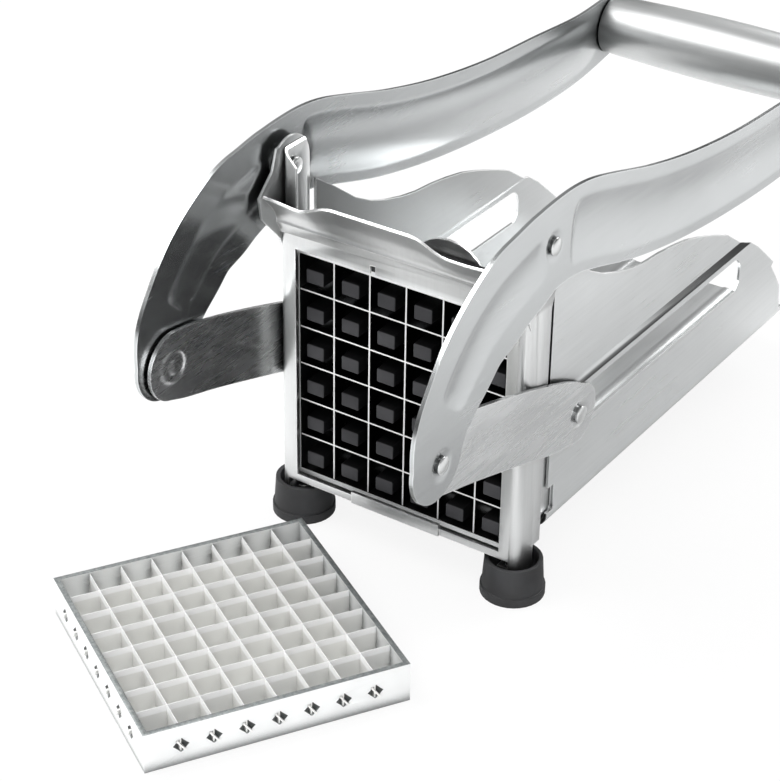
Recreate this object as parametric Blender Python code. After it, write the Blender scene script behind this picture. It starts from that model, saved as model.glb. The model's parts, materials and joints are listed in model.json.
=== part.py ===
"""French fry cutter: slotted trough, blade inserts, pegged pusher and a two-armed lever.

Metres, +Z up. The table is z = 0, +X is the right side, -Y is the cutting end and the lever
swings about X. Everything hangs from one empty, which puts the origin at the middle of the
underside of the whole object.
"""
import math

import bmesh
import bpy
from mathutils import Matrix, Vector

# Sheet stock and clearances
SHEET = 0.0008
LEVER_SHEET = 0.0012
SEAM_GAP = 0.0003
CUT_OVERRUN = 0.002
ROUND_STEPS = 32
ARC_STEPS = 6

# Blade inserts: a square frame round a grid of thin blades
INSERT_SIDE = 0.0784
INSERT_DEPTH = 0.0127
INSERT_WALL = 0.0016
BLADE_THICKNESS = 0.0005
BLADE_GAP = 0.0002
BLADE_EDGE_INSET = 0.0004
TAB_WIDTH = 0.0040
TAB_REACH = 0.0009
TAB_TWIST = math.radians(35)
TAB_SIDES = 4
MOUNTED_CELLS = 6
LOOSE_CELLS = 8
MOUNTED_PITCH = 0.0127
LOOSE_PITCH = 0.009525
LOOSE_X = -0.0114
LOOSE_Y = -0.0718
LOOSE_TURN = math.radians(-31.44)

# Front frame: columns, bands, collar, wings and ears
SEAT_HEIGHT = 0.0151
COLUMN_WIDTH = 0.0063
FLANGE_DEPTH = 0.0129
FRAME_CORNER = 0.0030
FACE_STANDOFF = 0.0026
FRAME_SIDE_ROOM = 0.0029
LIP_RISE = 0.0013
BAND_CLEARANCE = 0.0013
GROOVE_RISE = 0.0055
RIDGE_RISE = 0.0026
COLLAR_RISE = 0.0126
COLLAR_DIP = 0.0038
COLLAR_REACH = 0.0082
COLLAR_CREST_X = -0.0050
COLLAR_CREST_WIDTH = 0.0270
COLLAR_DIP_WIDTH = 0.0520
NOTCH_WIDTH = 0.0018
NOTCH_HEIGHT = 0.0026
NOTCH_X = -0.0092
LIP_TONGUE_WIDTH = 0.0315
LIP_TONGUE_RISE = 0.0029
EAR_RADIUS = 0.0091
WING_REACH = 0.0155
WING_DROP = 0.0217
LEG_WIDTH = 0.0091
LEG_TAB_LENGTH = 0.0085
FLANGE_RISE = 0.0010
# Wing outline as shares of its reach (forward of the pivot) and its drop (below the pivot)
WING_SHARES = (
    (-0.374, -1.0),
    (-0.923, -0.571),
    (-1.0, -0.244),
    (-0.581, 0.041),
    (-0.439, 0.332),
)
# Collar profile above the ridge: shares of its rise and of its reach
COLLAR_SHARES = ((0.0, 0.22), (0.12, 0.20), (0.4, 0.34), (0.7, 0.64), (1.0, 1.0))
COLLAR_STEPS = 10

# Inner posts nested behind the columns
POST_SIDE_DEPTH = 0.0112
POST_FOOT_DEPTH = 0.0180
POST_FOOT_RISE = 0.0100
POST_FOOT_CLEARANCE = 0.0010
POST_CORNER = 0.0020
POST_TOP_DROP = 0.0055
POST_RISE = 0.0067

# Trough: floor and two slotted walls
FLOOR_CLEARANCE = 0.00075
TROUGH_CORNER = 0.0045
TROUGH_START = 0.0130
TROUGH_LENGTH = 0.1566
FLOOR_LENGTH = 0.1650
WALL_HEIGHT = 0.0923
JOGGLE_LOW = 0.0420
JOGGLE_RISE = 0.0040
JOGGLE_STEP = 0.00125
BEAD_X = 0.0194
BEAD_WIDTH = 0.0040
BEAD_HEIGHT = 0.0004
SLOT_HEIGHT = 0.0120
SLOT_END_ROOM = 0.0022
SLOT_CORNER = 0.0050
TOE_NOTCH_WIDTH = 0.0035
TOE_NOTCH_HEIGHT = 0.0090
# Wall outline as shares of the trough's length and the wall's height, from the front top corner
WALL_SHARES = (
    (0.0, 1.0),
    (0.059, 0.932),
    (0.132, 0.841),
    (0.185, 0.793),
    (0.24, 0.758),
    (0.294, 0.733),
    (0.349, 0.715),
    (0.406, 0.706),
    (0.464, 0.691),
    (0.525, 0.67),
    (0.585, 0.638),
    (0.649, 0.599),
    (0.713, 0.554),
    (0.78, 0.497),
    (0.858, 0.407),
    (0.91, 0.333),
    (0.943, 0.285),
    (0.934, 0.273),
    (0.962, 0.215),
    (0.987, 0.158),
    (1.0, 0.043),
)

# Rubber feet
FOOT_FLANGE_RADIUS = 0.0099
FOOT_FLANGE_HEIGHT = 0.0030
FOOT_BODY_RADIUS = 0.0094
FOOT_TOP_RADIUS = 0.0088
FOOT_HEIGHT = 0.0122
FOOT_RECESS_RADIUS = 0.0074
FOOT_RECESS_DEPTH = 0.0042
FOOT_RIVET_RADIUS = 0.0014
FOOT_RIVET_HEAD_RADIUS = 0.0028
FOOT_RIVET_HEAD = 0.0010
REAR_LEG_TOP_WIDTH = 0.0520
REAR_LEG_FOOT_WIDTH = 0.0080
REAR_LEG_TAB = 0.0085
REAR_FOOT_SETBACK = 0.0120
REAR_LEG_CHEST = 0.0100
REAR_LEG_SLANT = 0.0057
FOOT_INSET = 0.0045

# Lever
PIVOT_Y = 0.0025
PIVOT_RISE = 0.0154
ARM_REACH = 0.1972
ARM_HALF_WIDTH = 0.0139
LINK_WALL_GAP = 0.0005
ARM_LINK_GAP = 0.0008
LEVER_SWING = math.radians(90)
FRONT_DISH = 0.0007
REAR_DISH = 0.0014
ARM_STATIONS = 56
ARM_LANES = 10
CRANK_FORWARD = 0.0547
CRANK_DROP = 0.0420
# Arm centre line and half width: shares of the reach, back and up from the pivot, and of the
# arm's half width
ARM_SHARES = (
    (-0.2865, -0.2044, 0.863),
    (-0.2754, -0.1592, 1.0),
    (-0.25, -0.1227, 1.065),
    (-0.2155, -0.0872, 1.144),
    (-0.1749, -0.0548, 1.144),
    (-0.1242, -0.0319, 1.194),
    (-0.0811, -0.0188, 1.122),
    (-0.038, -0.0091, 1.079),
    (0.0, -0.0015, 1.007),
    (0.0456, -0.0005, 1.0),
    (0.0913, -0.0061, 0.996),
    (0.1521, -0.0223, 1.0),
    (0.2662, -0.0553, 1.007),
    (0.4031, -0.0842, 0.993),
    (0.5629, -0.106, 0.978),
    (0.7328, -0.1182, 0.978),
    (0.8798, -0.1227, 0.899),
    (1.0, -0.1121, 0.82),
)
# Where each dished panel starts and ends along the arm, and how far it fills the width
FRONT_DISH_SHARES = (0.12, 0.41)
REAR_DISH_SHARES = (0.555, 0.97)
DISH_WIDTH_SHARE = 0.76
DISH_SLOPE_SHARE = 0.30

# Handle barrel and its tie rod
HANDLE_END_RADIUS = 0.0102
HANDLE_MIDDLE_RADIUS = 0.0113
HANDLE_WALL = 0.0010
TIE_ROD_RADIUS = 0.0025
TIE_HEAD_RADIUS = 0.0045

# Rivets
RIVET_RADIUS = 0.0016
RIVET_HEAD_RADIUS = 0.0027
RIVET_HEAD = 0.0008
SPACER_RADIUS = 0.0050

# Links
LINK_HALF_WIDTH = 0.0114
LINK_DISH = 0.0002
LINK_STATIONS = 28
LINK_LANES = 10
LINK_DISH_SHARES = (0.26, 0.80)
LINK_DISH_WIDTH_SHARE = 0.62
LINK_BOSS_RADIUS = 0.0056
LINK_BOSS_HEIGHT = 0.0002
# Link centre line and half width: shares of the pin distance along and across, and of the half
# width
LINK_SHARES = (
    (0.0, 0.0, 0.93),
    (0.1, 0.006, 0.99),
    (0.3, 0.014, 1.0),
    (0.6, 0.014, 1.0),
    (0.85, 0.006, 0.97),
    (1.0, 0.0, 0.84),
)

# Pusher: block, pegs, carrier plate and axle
PUSHER_GAP = 0.0076
PUSHER_BASE = 0.0022
PUSHER_SIDE_ROOM = 0.0007
PEG_WIDTH = 0.0062
PEG_HEIGHT = 0.0046
PEG_DROP = 0.0008
PEG_OVERREACH = 0.0005
PEG_TAPER = 0.0004
CARRIER_HALF_WIDTH = 0.0340
CARRIER_LOW = 0.0380
CARRIER_HIGH = 0.0660
CARRIER_HUMP_RADIUS = 0.0140
CARRIER_TOP = 0.0975
CARRIER_EAR_DEPTH = 0.0090
AXLE_RADIUS = 0.0024
AXLE_HEIGHT = 0.0520
AXLE_BUSH_GAP = 0.0003
AXLE_HEAD_RADIUS = 0.0028
AXLE_HEAD = 0.0009

# Layers across the object, outward from the middle
HALF_INSERT = INSERT_SIDE / 2
FRAME_INNER = HALF_INSERT + FRAME_SIDE_ROOM
FRAME_OUTER = FRAME_INNER + SHEET
POST_OUTER = FRAME_INNER - SEAM_GAP
POST_INNER = POST_OUTER - SHEET
LINK_INNER = FRAME_OUTER + LINK_WALL_GAP
LINK_OUTER = LINK_INNER + LEVER_SHEET
ARM_INNER = LINK_OUTER + ARM_LINK_GAP
ARM_OUTER = ARM_INNER + LEVER_SHEET
HEAD_INNER = ARM_OUTER + SEAM_GAP
OPENING_HALF = FRAME_OUTER - COLUMN_WIDTH

# Heights
GRID_MIDDLE = SEAT_HEIGHT + HALF_INSERT
GRID_TOP = SEAT_HEIGHT + INSERT_SIDE
LIP_TOP = SEAT_HEIGHT + LIP_RISE
FRAME_LOW = SEAT_HEIGHT - SEAM_GAP - SHEET
BAND_LOW = GRID_TOP + BAND_CLEARANCE
GROOVE = BAND_LOW + GROOVE_RISE
RIDGE = GROOVE + RIDGE_RISE
COLLAR_TOP = RIDGE + COLLAR_RISE
PIVOT_HEIGHT = RIDGE + PIVOT_RISE
PEG_SPAN = (MOUNTED_CELLS - 1) * MOUNTED_PITCH
PEG_LOW = GRID_MIDDLE - PEG_SPAN / 2 - PEG_DROP - PEG_HEIGHT / 2
FLOOR_TOP = PEG_LOW - FLOOR_CLEARANCE
FLOOR_LOW = FLOOR_TOP - SHEET
JOGGLE_START = FLOOR_LOW + JOGGLE_LOW
JOGGLE_END = JOGGLE_START + JOGGLE_RISE
LEG_LOW = FOOT_HEIGHT - FOOT_RECESS_DEPTH + SEAM_GAP

# Places along the object
FACE_INNER = -FACE_STANDOFF
FACE_OUTER = FACE_INNER - SHEET
FLANGE_REAR = FACE_OUTER + FLANGE_DEPTH
LEG_REAR = FACE_OUTER + LEG_WIDTH
LEG_FRONT = FACE_OUTER + FRAME_CORNER
FOOT_Y = (LEG_FRONT + LEG_REAR) / 2
FOOT_X = FRAME_OUTER - FOOT_INSET
FLOOR_END = TROUGH_START + FLOOR_LENGTH
REAR_FOOT_Y = FLOOR_END - REAR_FOOT_SETBACK
HANDLE_Y = PIVOT_Y + ARM_REACH * ARM_SHARES[-1][0]
HANDLE_HEIGHT = PIVOT_HEIGHT + ARM_REACH * ARM_SHARES[-1][1]
CRANK_Y = PIVOT_Y - CRANK_FORWARD
CRANK_HEIGHT = PIVOT_HEIGHT - CRANK_DROP
PUSHER_FRONT = INSERT_DEPTH + PUSHER_GAP
CARRIER_FRONT = PUSHER_FRONT + PUSHER_BASE + SEAM_GAP
CARRIER_REAR = CARRIER_FRONT + SHEET
AXLE_Y = CARRIER_REAR + SEAM_GAP + AXLE_RADIUS
PUSHER_HALF = HALF_INSERT - PUSHER_SIDE_ROOM
LINK_LENGTH = math.hypot(AXLE_Y - CRANK_Y, AXLE_HEIGHT - CRANK_HEIGHT)
LINK_SLOPE = math.atan2(AXLE_HEIGHT - CRANK_HEIGHT, AXLE_Y - CRANK_Y)


def axle_travel(swing):
    """How far the axle slides back when the lever has turned by this angle."""
    pin_y = PIVOT_Y - CRANK_FORWARD * math.cos(swing) + CRANK_DROP * math.sin(swing)
    pin_height = PIVOT_HEIGHT - CRANK_FORWARD * math.sin(swing) - CRANK_DROP * math.cos(swing)
    rise = pin_height - AXLE_HEIGHT
    return pin_y + math.sqrt(LINK_LENGTH ** 2 - rise ** 2) - AXLE_Y


TRAVEL = axle_travel(LEVER_SWING)
SLOT_FRONT = AXLE_Y - SLOT_HEIGHT / 2 - SLOT_END_ROOM
SLOT_REAR = AXLE_Y + TRAVEL + SLOT_HEIGHT / 2 + SLOT_END_ROOM


def clear_scene():
    for item in list(bpy.data.objects):
        bpy.data.objects.remove(item, do_unlink=True)


def make_material(name, colour, roughness, metallic):
    material = bpy.data.materials.new(name)
    material.use_nodes = True
    shader = material.node_tree.nodes["Principled BSDF"]
    shader.inputs["Base Color"].default_value = (*colour, 1.0)
    shader.inputs["Roughness"].default_value = roughness
    shader.inputs["Metallic"].default_value = metallic
    material.diffuse_color = (*colour, 1.0)
    return material


def add_empty(name, place, parent=None):
    empty = bpy.data.objects.new(name, None)
    bpy.context.scene.collection.objects.link(empty)
    empty.parent = parent
    empty.location = place
    return empty


def to_mesh(shape, name):
    """Close a bmesh: join doubled points, face outward and hand it over as a mesh."""
    bmesh.ops.remove_doubles(shape, verts=shape.verts, dist=SEAM_GAP / ROUND_STEPS)
    bmesh.ops.recalc_face_normals(shape, faces=shape.faces)
    mesh = bpy.data.meshes.new(name)
    shape.to_mesh(mesh)
    shape.free()
    return mesh


def add_node(name, mesh, material, parent):
    """Add a mesh drawn in table coordinates as a node whose origin is its parent's place."""
    node = bpy.data.objects.new(name, mesh)
    bpy.context.scene.collection.objects.link(node)
    mesh.transform(Matrix.Translation(-parent.location))
    mesh.materials.clear()
    mesh.materials.append(material)
    node.parent = parent
    return node


def combine(mesh, other, operation):
    """Boolean of two meshes, applied at once."""
    base = bpy.data.objects.new("base", mesh)
    tool = bpy.data.objects.new("tool", other)
    for item in (base, tool):
        bpy.context.scene.collection.objects.link(item)
    tool.display_type = "WIRE"
    tool.hide_render = True
    modifier = base.modifiers.new("combine", "BOOLEAN")
    modifier.operation = operation
    modifier.object = tool
    bpy.context.view_layer.update()
    graph = bpy.context.evaluated_depsgraph_get()
    result = bpy.data.meshes.new_from_object(base.evaluated_get(graph))
    for item in (base, tool):
        bpy.data.objects.remove(item, do_unlink=True)
    return result


def cut(mesh, *tools):
    for tool in tools:
        mesh = combine(mesh, tool, "DIFFERENCE")
    return mesh


def fuse(mesh, *others):
    for other in others:
        mesh = combine(mesh, other, "UNION")
    return mesh


def group(*meshes):
    """Several separate solids in one mesh."""
    shape = bmesh.new()
    for mesh in meshes:
        shape.from_mesh(mesh)
    result = bpy.data.meshes.new("group")
    shape.to_mesh(result)
    shape.free()
    return result


def moved(mesh, matrix):
    copy = mesh.copy()
    copy.transform(matrix)
    if matrix.is_negative:
        copy.flip_normals()
    return copy


def mirrored(mesh):
    return moved(mesh, Matrix.Scale(-1, 4, Vector((1, 0, 0))))


def loft(rings, name="loft"):
    """Closed body through rings of points, with flat ends."""
    shape = bmesh.new()
    rows = [[shape.verts.new(point) for point in ring] for ring in rings]
    count = len(rings[0])
    for first, second in zip(rows, rows[1:]):
        for i in range(count):
            j = (i + 1) % count
            shape.faces.new((first[i], first[j], second[j], second[i]))
    shape.faces.new(rows[0])
    shape.faces.new(list(reversed(rows[-1])))
    return to_mesh(shape, name)


def prism(outline, axis, low, high):
    """Extrude a flat outline along X, Y or Z; its two coordinates are the other axes in order."""
    def place(point, level):
        values = list(point)
        values.insert("XYZ".index(axis), level)
        return Vector(values)

    return loft([[place(point, level) for point in outline] for level in (low, high)])


def box(x_range, y_range, z_range):
    corners = [(x, y) for x, y in zip((0, 1, 1, 0), (0, 0, 1, 1))]
    outline = [(x_range[x], y_range[y]) for x, y in corners]
    return prism(outline, "Z", *z_range)


def lathe(profile, centre, axis="Z", steps=ROUND_STEPS):
    """Turn (radius, height) points about an axis through the centre."""
    shape = bmesh.new()
    points = [shape.verts.new((radius, 0, height)) for radius, height in profile]
    edges = [shape.edges.new(pair) for pair in zip(points, points[1:])]
    if profile[0][0] or profile[-1][0]:
        edges.append(shape.edges.new((points[-1], points[0])))
    bmesh.ops.spin(shape, geom=points + edges, cent=(0, 0, 0), axis=(0, 0, 1),
                   angle=math.tau, steps=steps, use_merge=True)
    turned = to_mesh(shape, "lathe")
    if axis == "X":
        turned.transform(Matrix.Rotation(math.pi / 2, 4, "Y"))
    elif axis == "Y":
        turned.transform(Matrix.Rotation(-math.pi / 2, 4, "X"))
    turned.transform(Matrix.Translation(centre))
    return turned


def rod(radius, axis, low, high, y, z):
    """Plain cylinder along X between two places."""
    profile = ((0, low), (radius, low), (radius, high), (0, high))
    return lathe(profile, (0, y, z), axis)


def arc(centre, radius, start, end, steps=ARC_STEPS):
    """Points on an arc, angles in degrees."""
    points = []
    for i in range(steps + 1):
        angle = math.radians(start + (end - start) * i / steps)
        points.append((centre[0] + radius * math.cos(angle), centre[1] + radius * math.sin(angle)))
    return points


def offset_path(path, distance):
    """Points of a path moved to its left, with mitred corners."""
    result = []
    for i, point in enumerate(path):
        before = Vector(path[max(i - 1, 0)])
        after = Vector(path[min(i + 1, len(path) - 1)])
        here = Vector(point)
        way_in = (here - before).normalized() if i else (after - here).normalized()
        way_out = (after - here).normalized() if i < len(path) - 1 else way_in
        middle = (way_in + way_out).normalized()
        reach = distance / max(middle.dot(way_in), 0.5)
        result.append((here[0] - middle[1] * reach, here[1] + middle[0] * reach))
    return result


def sheet_section(path, thickness):
    """Closed outline of bent sheet whose right-hand face follows the path."""
    return list(path) + list(reversed(offset_path(path, thickness)))


def ease(value):
    value = min(max(value, 0.0), 1.0)
    return value * value * (3 - 2 * value)


def blade_mesh(place, pitch, cells, across, twisted):
    """One blade with half slots for the blades that cross it and a tab at each end."""
    reach = HALF_INSERT - INSERT_WALL - BLADE_GAP
    tab_end = HALF_INSERT + TAB_REACH
    middle = INSERT_DEPTH / 2
    low = BLADE_EDGE_INSET
    high = INSERT_DEPTH - BLADE_EDGE_INSET
    notch = BLADE_THICKNESS / 2 + BLADE_GAP
    crossings = [(i + 1 - cells / 2) * pitch for i in range(cells - 1)]
    edge = []
    for crossing in crossings:
        edge += [(crossing - notch, high), (crossing - notch, middle - BLADE_GAP)]
        edge += [(crossing + notch, middle - BLADE_GAP), (crossing + notch, high)]
    straight_end = HALF_INSERT + BLADE_GAP if twisted else tab_end
    tab = [(reach, middle + TAB_WIDTH / 2), (straight_end, middle + TAB_WIDTH / 2)]
    tab += [(straight_end, middle - TAB_WIDTH / 2), (reach, middle - TAB_WIDTH / 2)]
    left_tab = [(-along, depth) for along, depth in reversed(tab)]
    outline = [(-reach, high)] + edge + [(reach, high)] + tab
    outline += [(reach, low), (-reach, low)] + left_tab
    if across:
        outline = [(along, INSERT_DEPTH - depth) for along, depth in outline]
    half = BLADE_THICKNESS / 2
    mesh = prism(outline, "X", place - half, place + half)
    if twisted:
        mesh = twist_tabs(mesh, Vector((place, 0, middle)), straight_end, tab_end)
    if across:
        mesh.transform(Matrix.Rotation(math.pi / 2, 4, "Z"))
    return mesh


def twist_tabs(mesh, centre, start, end):
    """Draw each tab's end face outward and turn it, as the bent-over tabs of the insert are."""
    shape = bmesh.new()
    shape.from_mesh(mesh)
    tips = [face for face in shape.faces if abs(abs(face.calc_center_median().y) - start) < BLADE_GAP / 2]
    for tip in tips:
        sign = math.copysign(1, tip.calc_center_median().y)
        grown = bmesh.ops.extrude_face_region(shape, geom=[tip])["geom"]
        points = [item for item in grown if isinstance(item, bmesh.types.BMVert)]
        turn = Matrix.Translation(centre) @ Matrix.Rotation(TAB_TWIST, 4, "Y")
        turn = turn @ Matrix.Translation(-centre)
        for point in points:
            point.co = turn @ point.co
            point.co.y += sign * (end - start)
        shape.faces.remove(tip)
    return to_mesh(shape, "blade")


def insert_frame_mesh(pitch, cells):
    """Square frame with a slot for each blade tab."""
    inner = HALF_INSERT - INSERT_WALL
    depth = (0, INSERT_DEPTH)
    outer_side = (-HALF_INSERT, HALF_INSERT)
    inner_side = (-inner, inner)
    frame = box(outer_side, outer_side, depth)
    frame = cut(frame, box(inner_side, inner_side, (-CUT_OVERRUN, INSERT_DEPTH + CUT_OVERRUN)))
    half = BLADE_THICKNESS / 2 + BLADE_GAP
    tall = TAB_WIDTH / 2 + BLADE_GAP
    slot_depth = (INSERT_DEPTH / 2 - tall, INSERT_DEPTH / 2 + tall)
    reach = HALF_INSERT + CUT_OVERRUN
    slots = []
    for i in range(cells - 1):
        place = (i + 1 - cells / 2) * pitch
        sides = (place - half, place + half)
        for ends in ((-reach, CUT_OVERRUN - inner), (inner - CUT_OVERRUN, reach)):
            slots.append(box(sides, ends, slot_depth))
            slots.append(box(ends, sides, slot_depth))
    return cut(frame, group(*slots))


def build_insert(prefix, pitch, cells, materials, parent, place):
    """Frame and blades drawn flat, then put where the insert stands."""
    frame = moved(insert_frame_mesh(pitch, cells), place)
    add_node(prefix + "_insert_frame", frame, materials["steel"], parent)
    for i in range(cells - 1):
        offset = (i + 1 - cells / 2) * pitch
        for kind, across in (("upright", False), ("level", True)):
            blade = blade_mesh(offset, pitch, cells, across, twisted=across)
            name = "%s_%s_blade_%d" % (prefix, kind, i + 1)
            add_node(name, moved(blade, place), materials["blade"], parent)


def trough_section():
    """Cross section of the bent sheet: beads, corners and the joggle in each wall."""
    corner = (FRAME_OUTER - TROUGH_CORNER, FLOOR_LOW + TROUGH_CORNER)
    half = [
        (BEAD_X - BEAD_WIDTH / 2, FLOOR_LOW),
        (BEAD_X - BEAD_WIDTH / 4, FLOOR_LOW + BEAD_HEIGHT),
        (BEAD_X + BEAD_WIDTH / 4, FLOOR_LOW + BEAD_HEIGHT),
        (BEAD_X + BEAD_WIDTH / 2, FLOOR_LOW),
    ]
    half += arc(corner, TROUGH_CORNER, -90, 0)
    half += [
        (FRAME_OUTER, JOGGLE_START),
        (FRAME_OUTER - JOGGLE_STEP, JOGGLE_END),
        (FRAME_OUTER - JOGGLE_STEP, FLOOR_LOW + WALL_HEIGHT + CUT_OVERRUN),
    ]
    return [(-x, z) for x, z in reversed(half)] + half


def trough_mesh():
    sheet = prism(sheet_section(trough_section(), SHEET), "Y", TROUGH_START, FLOOR_END)
    edge = [(TROUGH_START + TROUGH_LENGTH * y, FLOOR_LOW + WALL_HEIGHT * z) for y, z in WALL_SHARES]
    over_top = FLOOR_LOW + WALL_HEIGHT + CUT_OVERRUN * 2
    over_end = FLOOR_END + CUT_OVERRUN
    above = [(TROUGH_START - CUT_OVERRUN, edge[0][1])] + edge
    above += [(over_end, edge[-1][1]), (over_end, over_top), (TROUGH_START - CUT_OVERRUN, over_top)]
    reach = FRAME_OUTER + CUT_OVERRUN
    low = AXLE_HEIGHT - SLOT_HEIGHT / 2
    high = AXLE_HEIGHT + SLOT_HEIGHT / 2
    slot = arc((SLOT_REAR - SLOT_CORNER, high - SLOT_CORNER), SLOT_CORNER, 0, 90)
    slot += [(SLOT_FRONT, high), (SLOT_FRONT, low), (SLOT_REAR - SLOT_CORNER / 2, low)]
    slot += [(SLOT_REAR, low + SLOT_CORNER / 2)]
    toe_low = corner_top() + SHEET
    toe_y = (TROUGH_START - CUT_OVERRUN, TROUGH_START + TOE_NOTCH_WIDTH)
    toe = box((-reach, reach), toe_y, (toe_low, toe_low + TOE_NOTCH_HEIGHT))
    return cut(sheet, prism(above, "X", -reach, reach), prism(slot, "X", -reach, reach), toe)


def corner_top():
    return FLOOR_LOW + TROUGH_CORNER


def frame_plan():
    """Plan of the front sheet: flange, corner, face, corner, flange."""
    centre = (FRAME_OUTER - FRAME_CORNER, FACE_OUTER + FRAME_CORNER)
    right = arc(centre, FRAME_CORNER, -90, 0) + [(FRAME_OUTER, FLANGE_REAR)]
    return [(-x, y) for x, y in reversed(right)] + right


def collar_mesh():
    """Flared top edge: it rolls out at the ridge and dips between the middle and the tips."""
    rings = []
    steps = ROUND_STEPS
    for i in range(steps + 1):
        x = FRAME_OUTER * (2 * i / steps - 1)
        off_crest = abs(x - COLLAR_CREST_X)
        dip = ease((off_crest * 2 - COLLAR_CREST_WIDTH) / (COLLAR_DIP_WIDTH - COLLAR_CREST_WIDTH))
        tip = ease((abs(x) - COLLAR_DIP_WIDTH / 2) / (FRAME_OUTER - COLLAR_DIP_WIDTH / 2))
        top = COLLAR_TOP - COLLAR_DIP * dip + (COLLAR_DIP - RIDGE_RISE) * tip
        path = [(FACE_OUTER, GROOVE - RIDGE_RISE / 2), (FACE_OUTER, GROOVE)]
        for k in range(COLLAR_STEPS + 1):
            up, out = spline(COLLAR_SHARES, k / COLLAR_STEPS)
            path.append((FACE_OUTER - COLLAR_REACH * out, RIDGE + (top - RIDGE) * up))
        rings.append([(x, y, z) for y, z in sheet_section(path, -SHEET)])
    return loft(rings, "collar")


def ear_outline():
    """Side plate above the column: rear edge, round ear and pointed wing."""
    wing = [(PIVOT_Y + WING_REACH * y, PIVOT_HEIGHT + WING_DROP * z) for y, z in WING_SHARES]
    rear = [(FLANGE_REAR, BAND_LOW - GROOVE_RISE), (FLANGE_REAR, BAND_LOW)]
    rear.append((PIVOT_Y + EAR_RADIUS, GROOVE))
    ear = arc((PIVOT_Y, PIVOT_HEIGHT), EAR_RADIUS, 0, 125, ARC_STEPS * 2)
    return rear + ear + list(reversed(wing)) + [(LEG_FRONT, BAND_LOW - GROOVE_RISE)]


def pivot_hole(reach):
    radius = RIVET_RADIUS + SEAM_GAP
    return rod(radius, "X", -reach, reach, PIVOT_Y, PIVOT_HEIGHT)


def front_frame_mesh():
    plan = sheet_section(frame_plan(), SHEET)
    frame = prism(plan, "Z", LEG_LOW, GROOVE)
    before = FACE_OUTER - CUT_OVERRUN
    reach = FRAME_OUTER + CUT_OVERRUN
    opening = box((-OPENING_HALF, OPENING_HALF), (before, 0), (LIP_TOP, BAND_LOW))
    leg_line = FRAME_OUTER - FRAME_CORNER
    under = box((-leg_line, leg_line), (before, 0), (LEG_LOW - CUT_OVERRUN, FRAME_LOW))
    heel_y = (LEG_REAR, FLANGE_REAR + CUT_OVERRUN)
    heel = box((-reach, reach), heel_y, (LEG_LOW - CUT_OVERRUN, SEAT_HEIGHT + FLANGE_RISE))
    half_notch = NOTCH_WIDTH / 2
    notch_height = (BAND_LOW - CUT_OVERRUN, BAND_LOW + NOTCH_HEIGHT)
    notch = box((NOTCH_X - half_notch, NOTCH_X + half_notch), (before, 0), notch_height)
    frame = cut(frame, opening, under, heel, notch)
    plate = prism(ear_outline(), "X", FRAME_INNER, FRAME_OUTER)
    seat_side = (-leg_line, leg_line)
    seat_rear = (INSERT_DEPTH - TAB_WIDTH) / 2 - SEAM_GAP
    seat = box(seat_side, (FACE_OUTER, seat_rear), (FRAME_LOW, FRAME_LOW + SHEET))
    tongue_side = (-LIP_TONGUE_WIDTH / 2, LIP_TONGUE_WIDTH / 2)
    tongue_y = (FACE_OUTER - SHEET, FACE_OUTER + SHEET / 2)
    tongue = box(tongue_side, tongue_y, (FRAME_LOW, SEAT_HEIGHT + LIP_TONGUE_RISE))
    tab_x = (FRAME_OUTER - LEG_TAB_LENGTH, FRAME_OUTER)
    tab = box(tab_x, (LEG_FRONT, LEG_REAR), (LEG_LOW, LEG_LOW + SHEET))
    frame = fuse(frame, plate, mirrored(plate), collar_mesh(), seat, tongue, tab, mirrored(tab))
    hole = foot_rivet_hole(FOOT_X, FOOT_Y)
    return cut(frame, pivot_hole(reach), hole, mirrored(hole))


def foot_rivet_hole(x, y):
    radius = FOOT_RIVET_RADIUS + SEAM_GAP
    span = (LEG_LOW - CUT_OVERRUN, LEG_LOW + CUT_OVERRUN)
    return lathe(((0, span[0]), (radius, span[0]), (radius, span[1]), (0, span[1])), (x, y, 0))


def post_mesh():
    """Right inner post: a thin angle behind the column, up to the pivot ear."""
    centre = (POST_OUTER - POST_CORNER, FACE_INNER + SEAM_GAP + POST_CORNER)
    post_front = FACE_INNER + SEAM_GAP
    path = [(OPENING_HALF + SEAM_GAP, post_front)] + arc(centre, POST_CORNER, -90, 0)
    path.append((POST_OUTER, post_front + POST_FOOT_DEPTH))
    top = PIVOT_HEIGHT + POST_RISE
    post = prism(sheet_section(path, SHEET), "Z", SEAT_HEIGHT, top)
    rear = post_front + POST_FOOT_DEPTH + CUT_OVERRUN
    step = post_front + POST_SIDE_DEPTH
    reach = (OPENING_HALF - CUT_OVERRUN, FRAME_INNER)
    foot_low = corner_top() + SHEET
    below = box(reach, (step, rear), (SEAT_HEIGHT - CUT_OVERRUN, foot_low))
    foot_high = JOGGLE_START - POST_FOOT_CLEARANCE
    above = box(reach, (step, rear), (foot_high, top + CUT_OVERRUN))
    slant = [(OPENING_HALF, top - POST_TOP_DROP), (POST_OUTER, top)]
    slant += [(POST_OUTER, top + CUT_OVERRUN), (OPENING_HALF, top + CUT_OVERRUN)]
    slope = prism(slant, "Y", post_front - CUT_OVERRUN, rear)
    return cut(post, below, above, slope, pivot_hole(FRAME_INNER))


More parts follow.
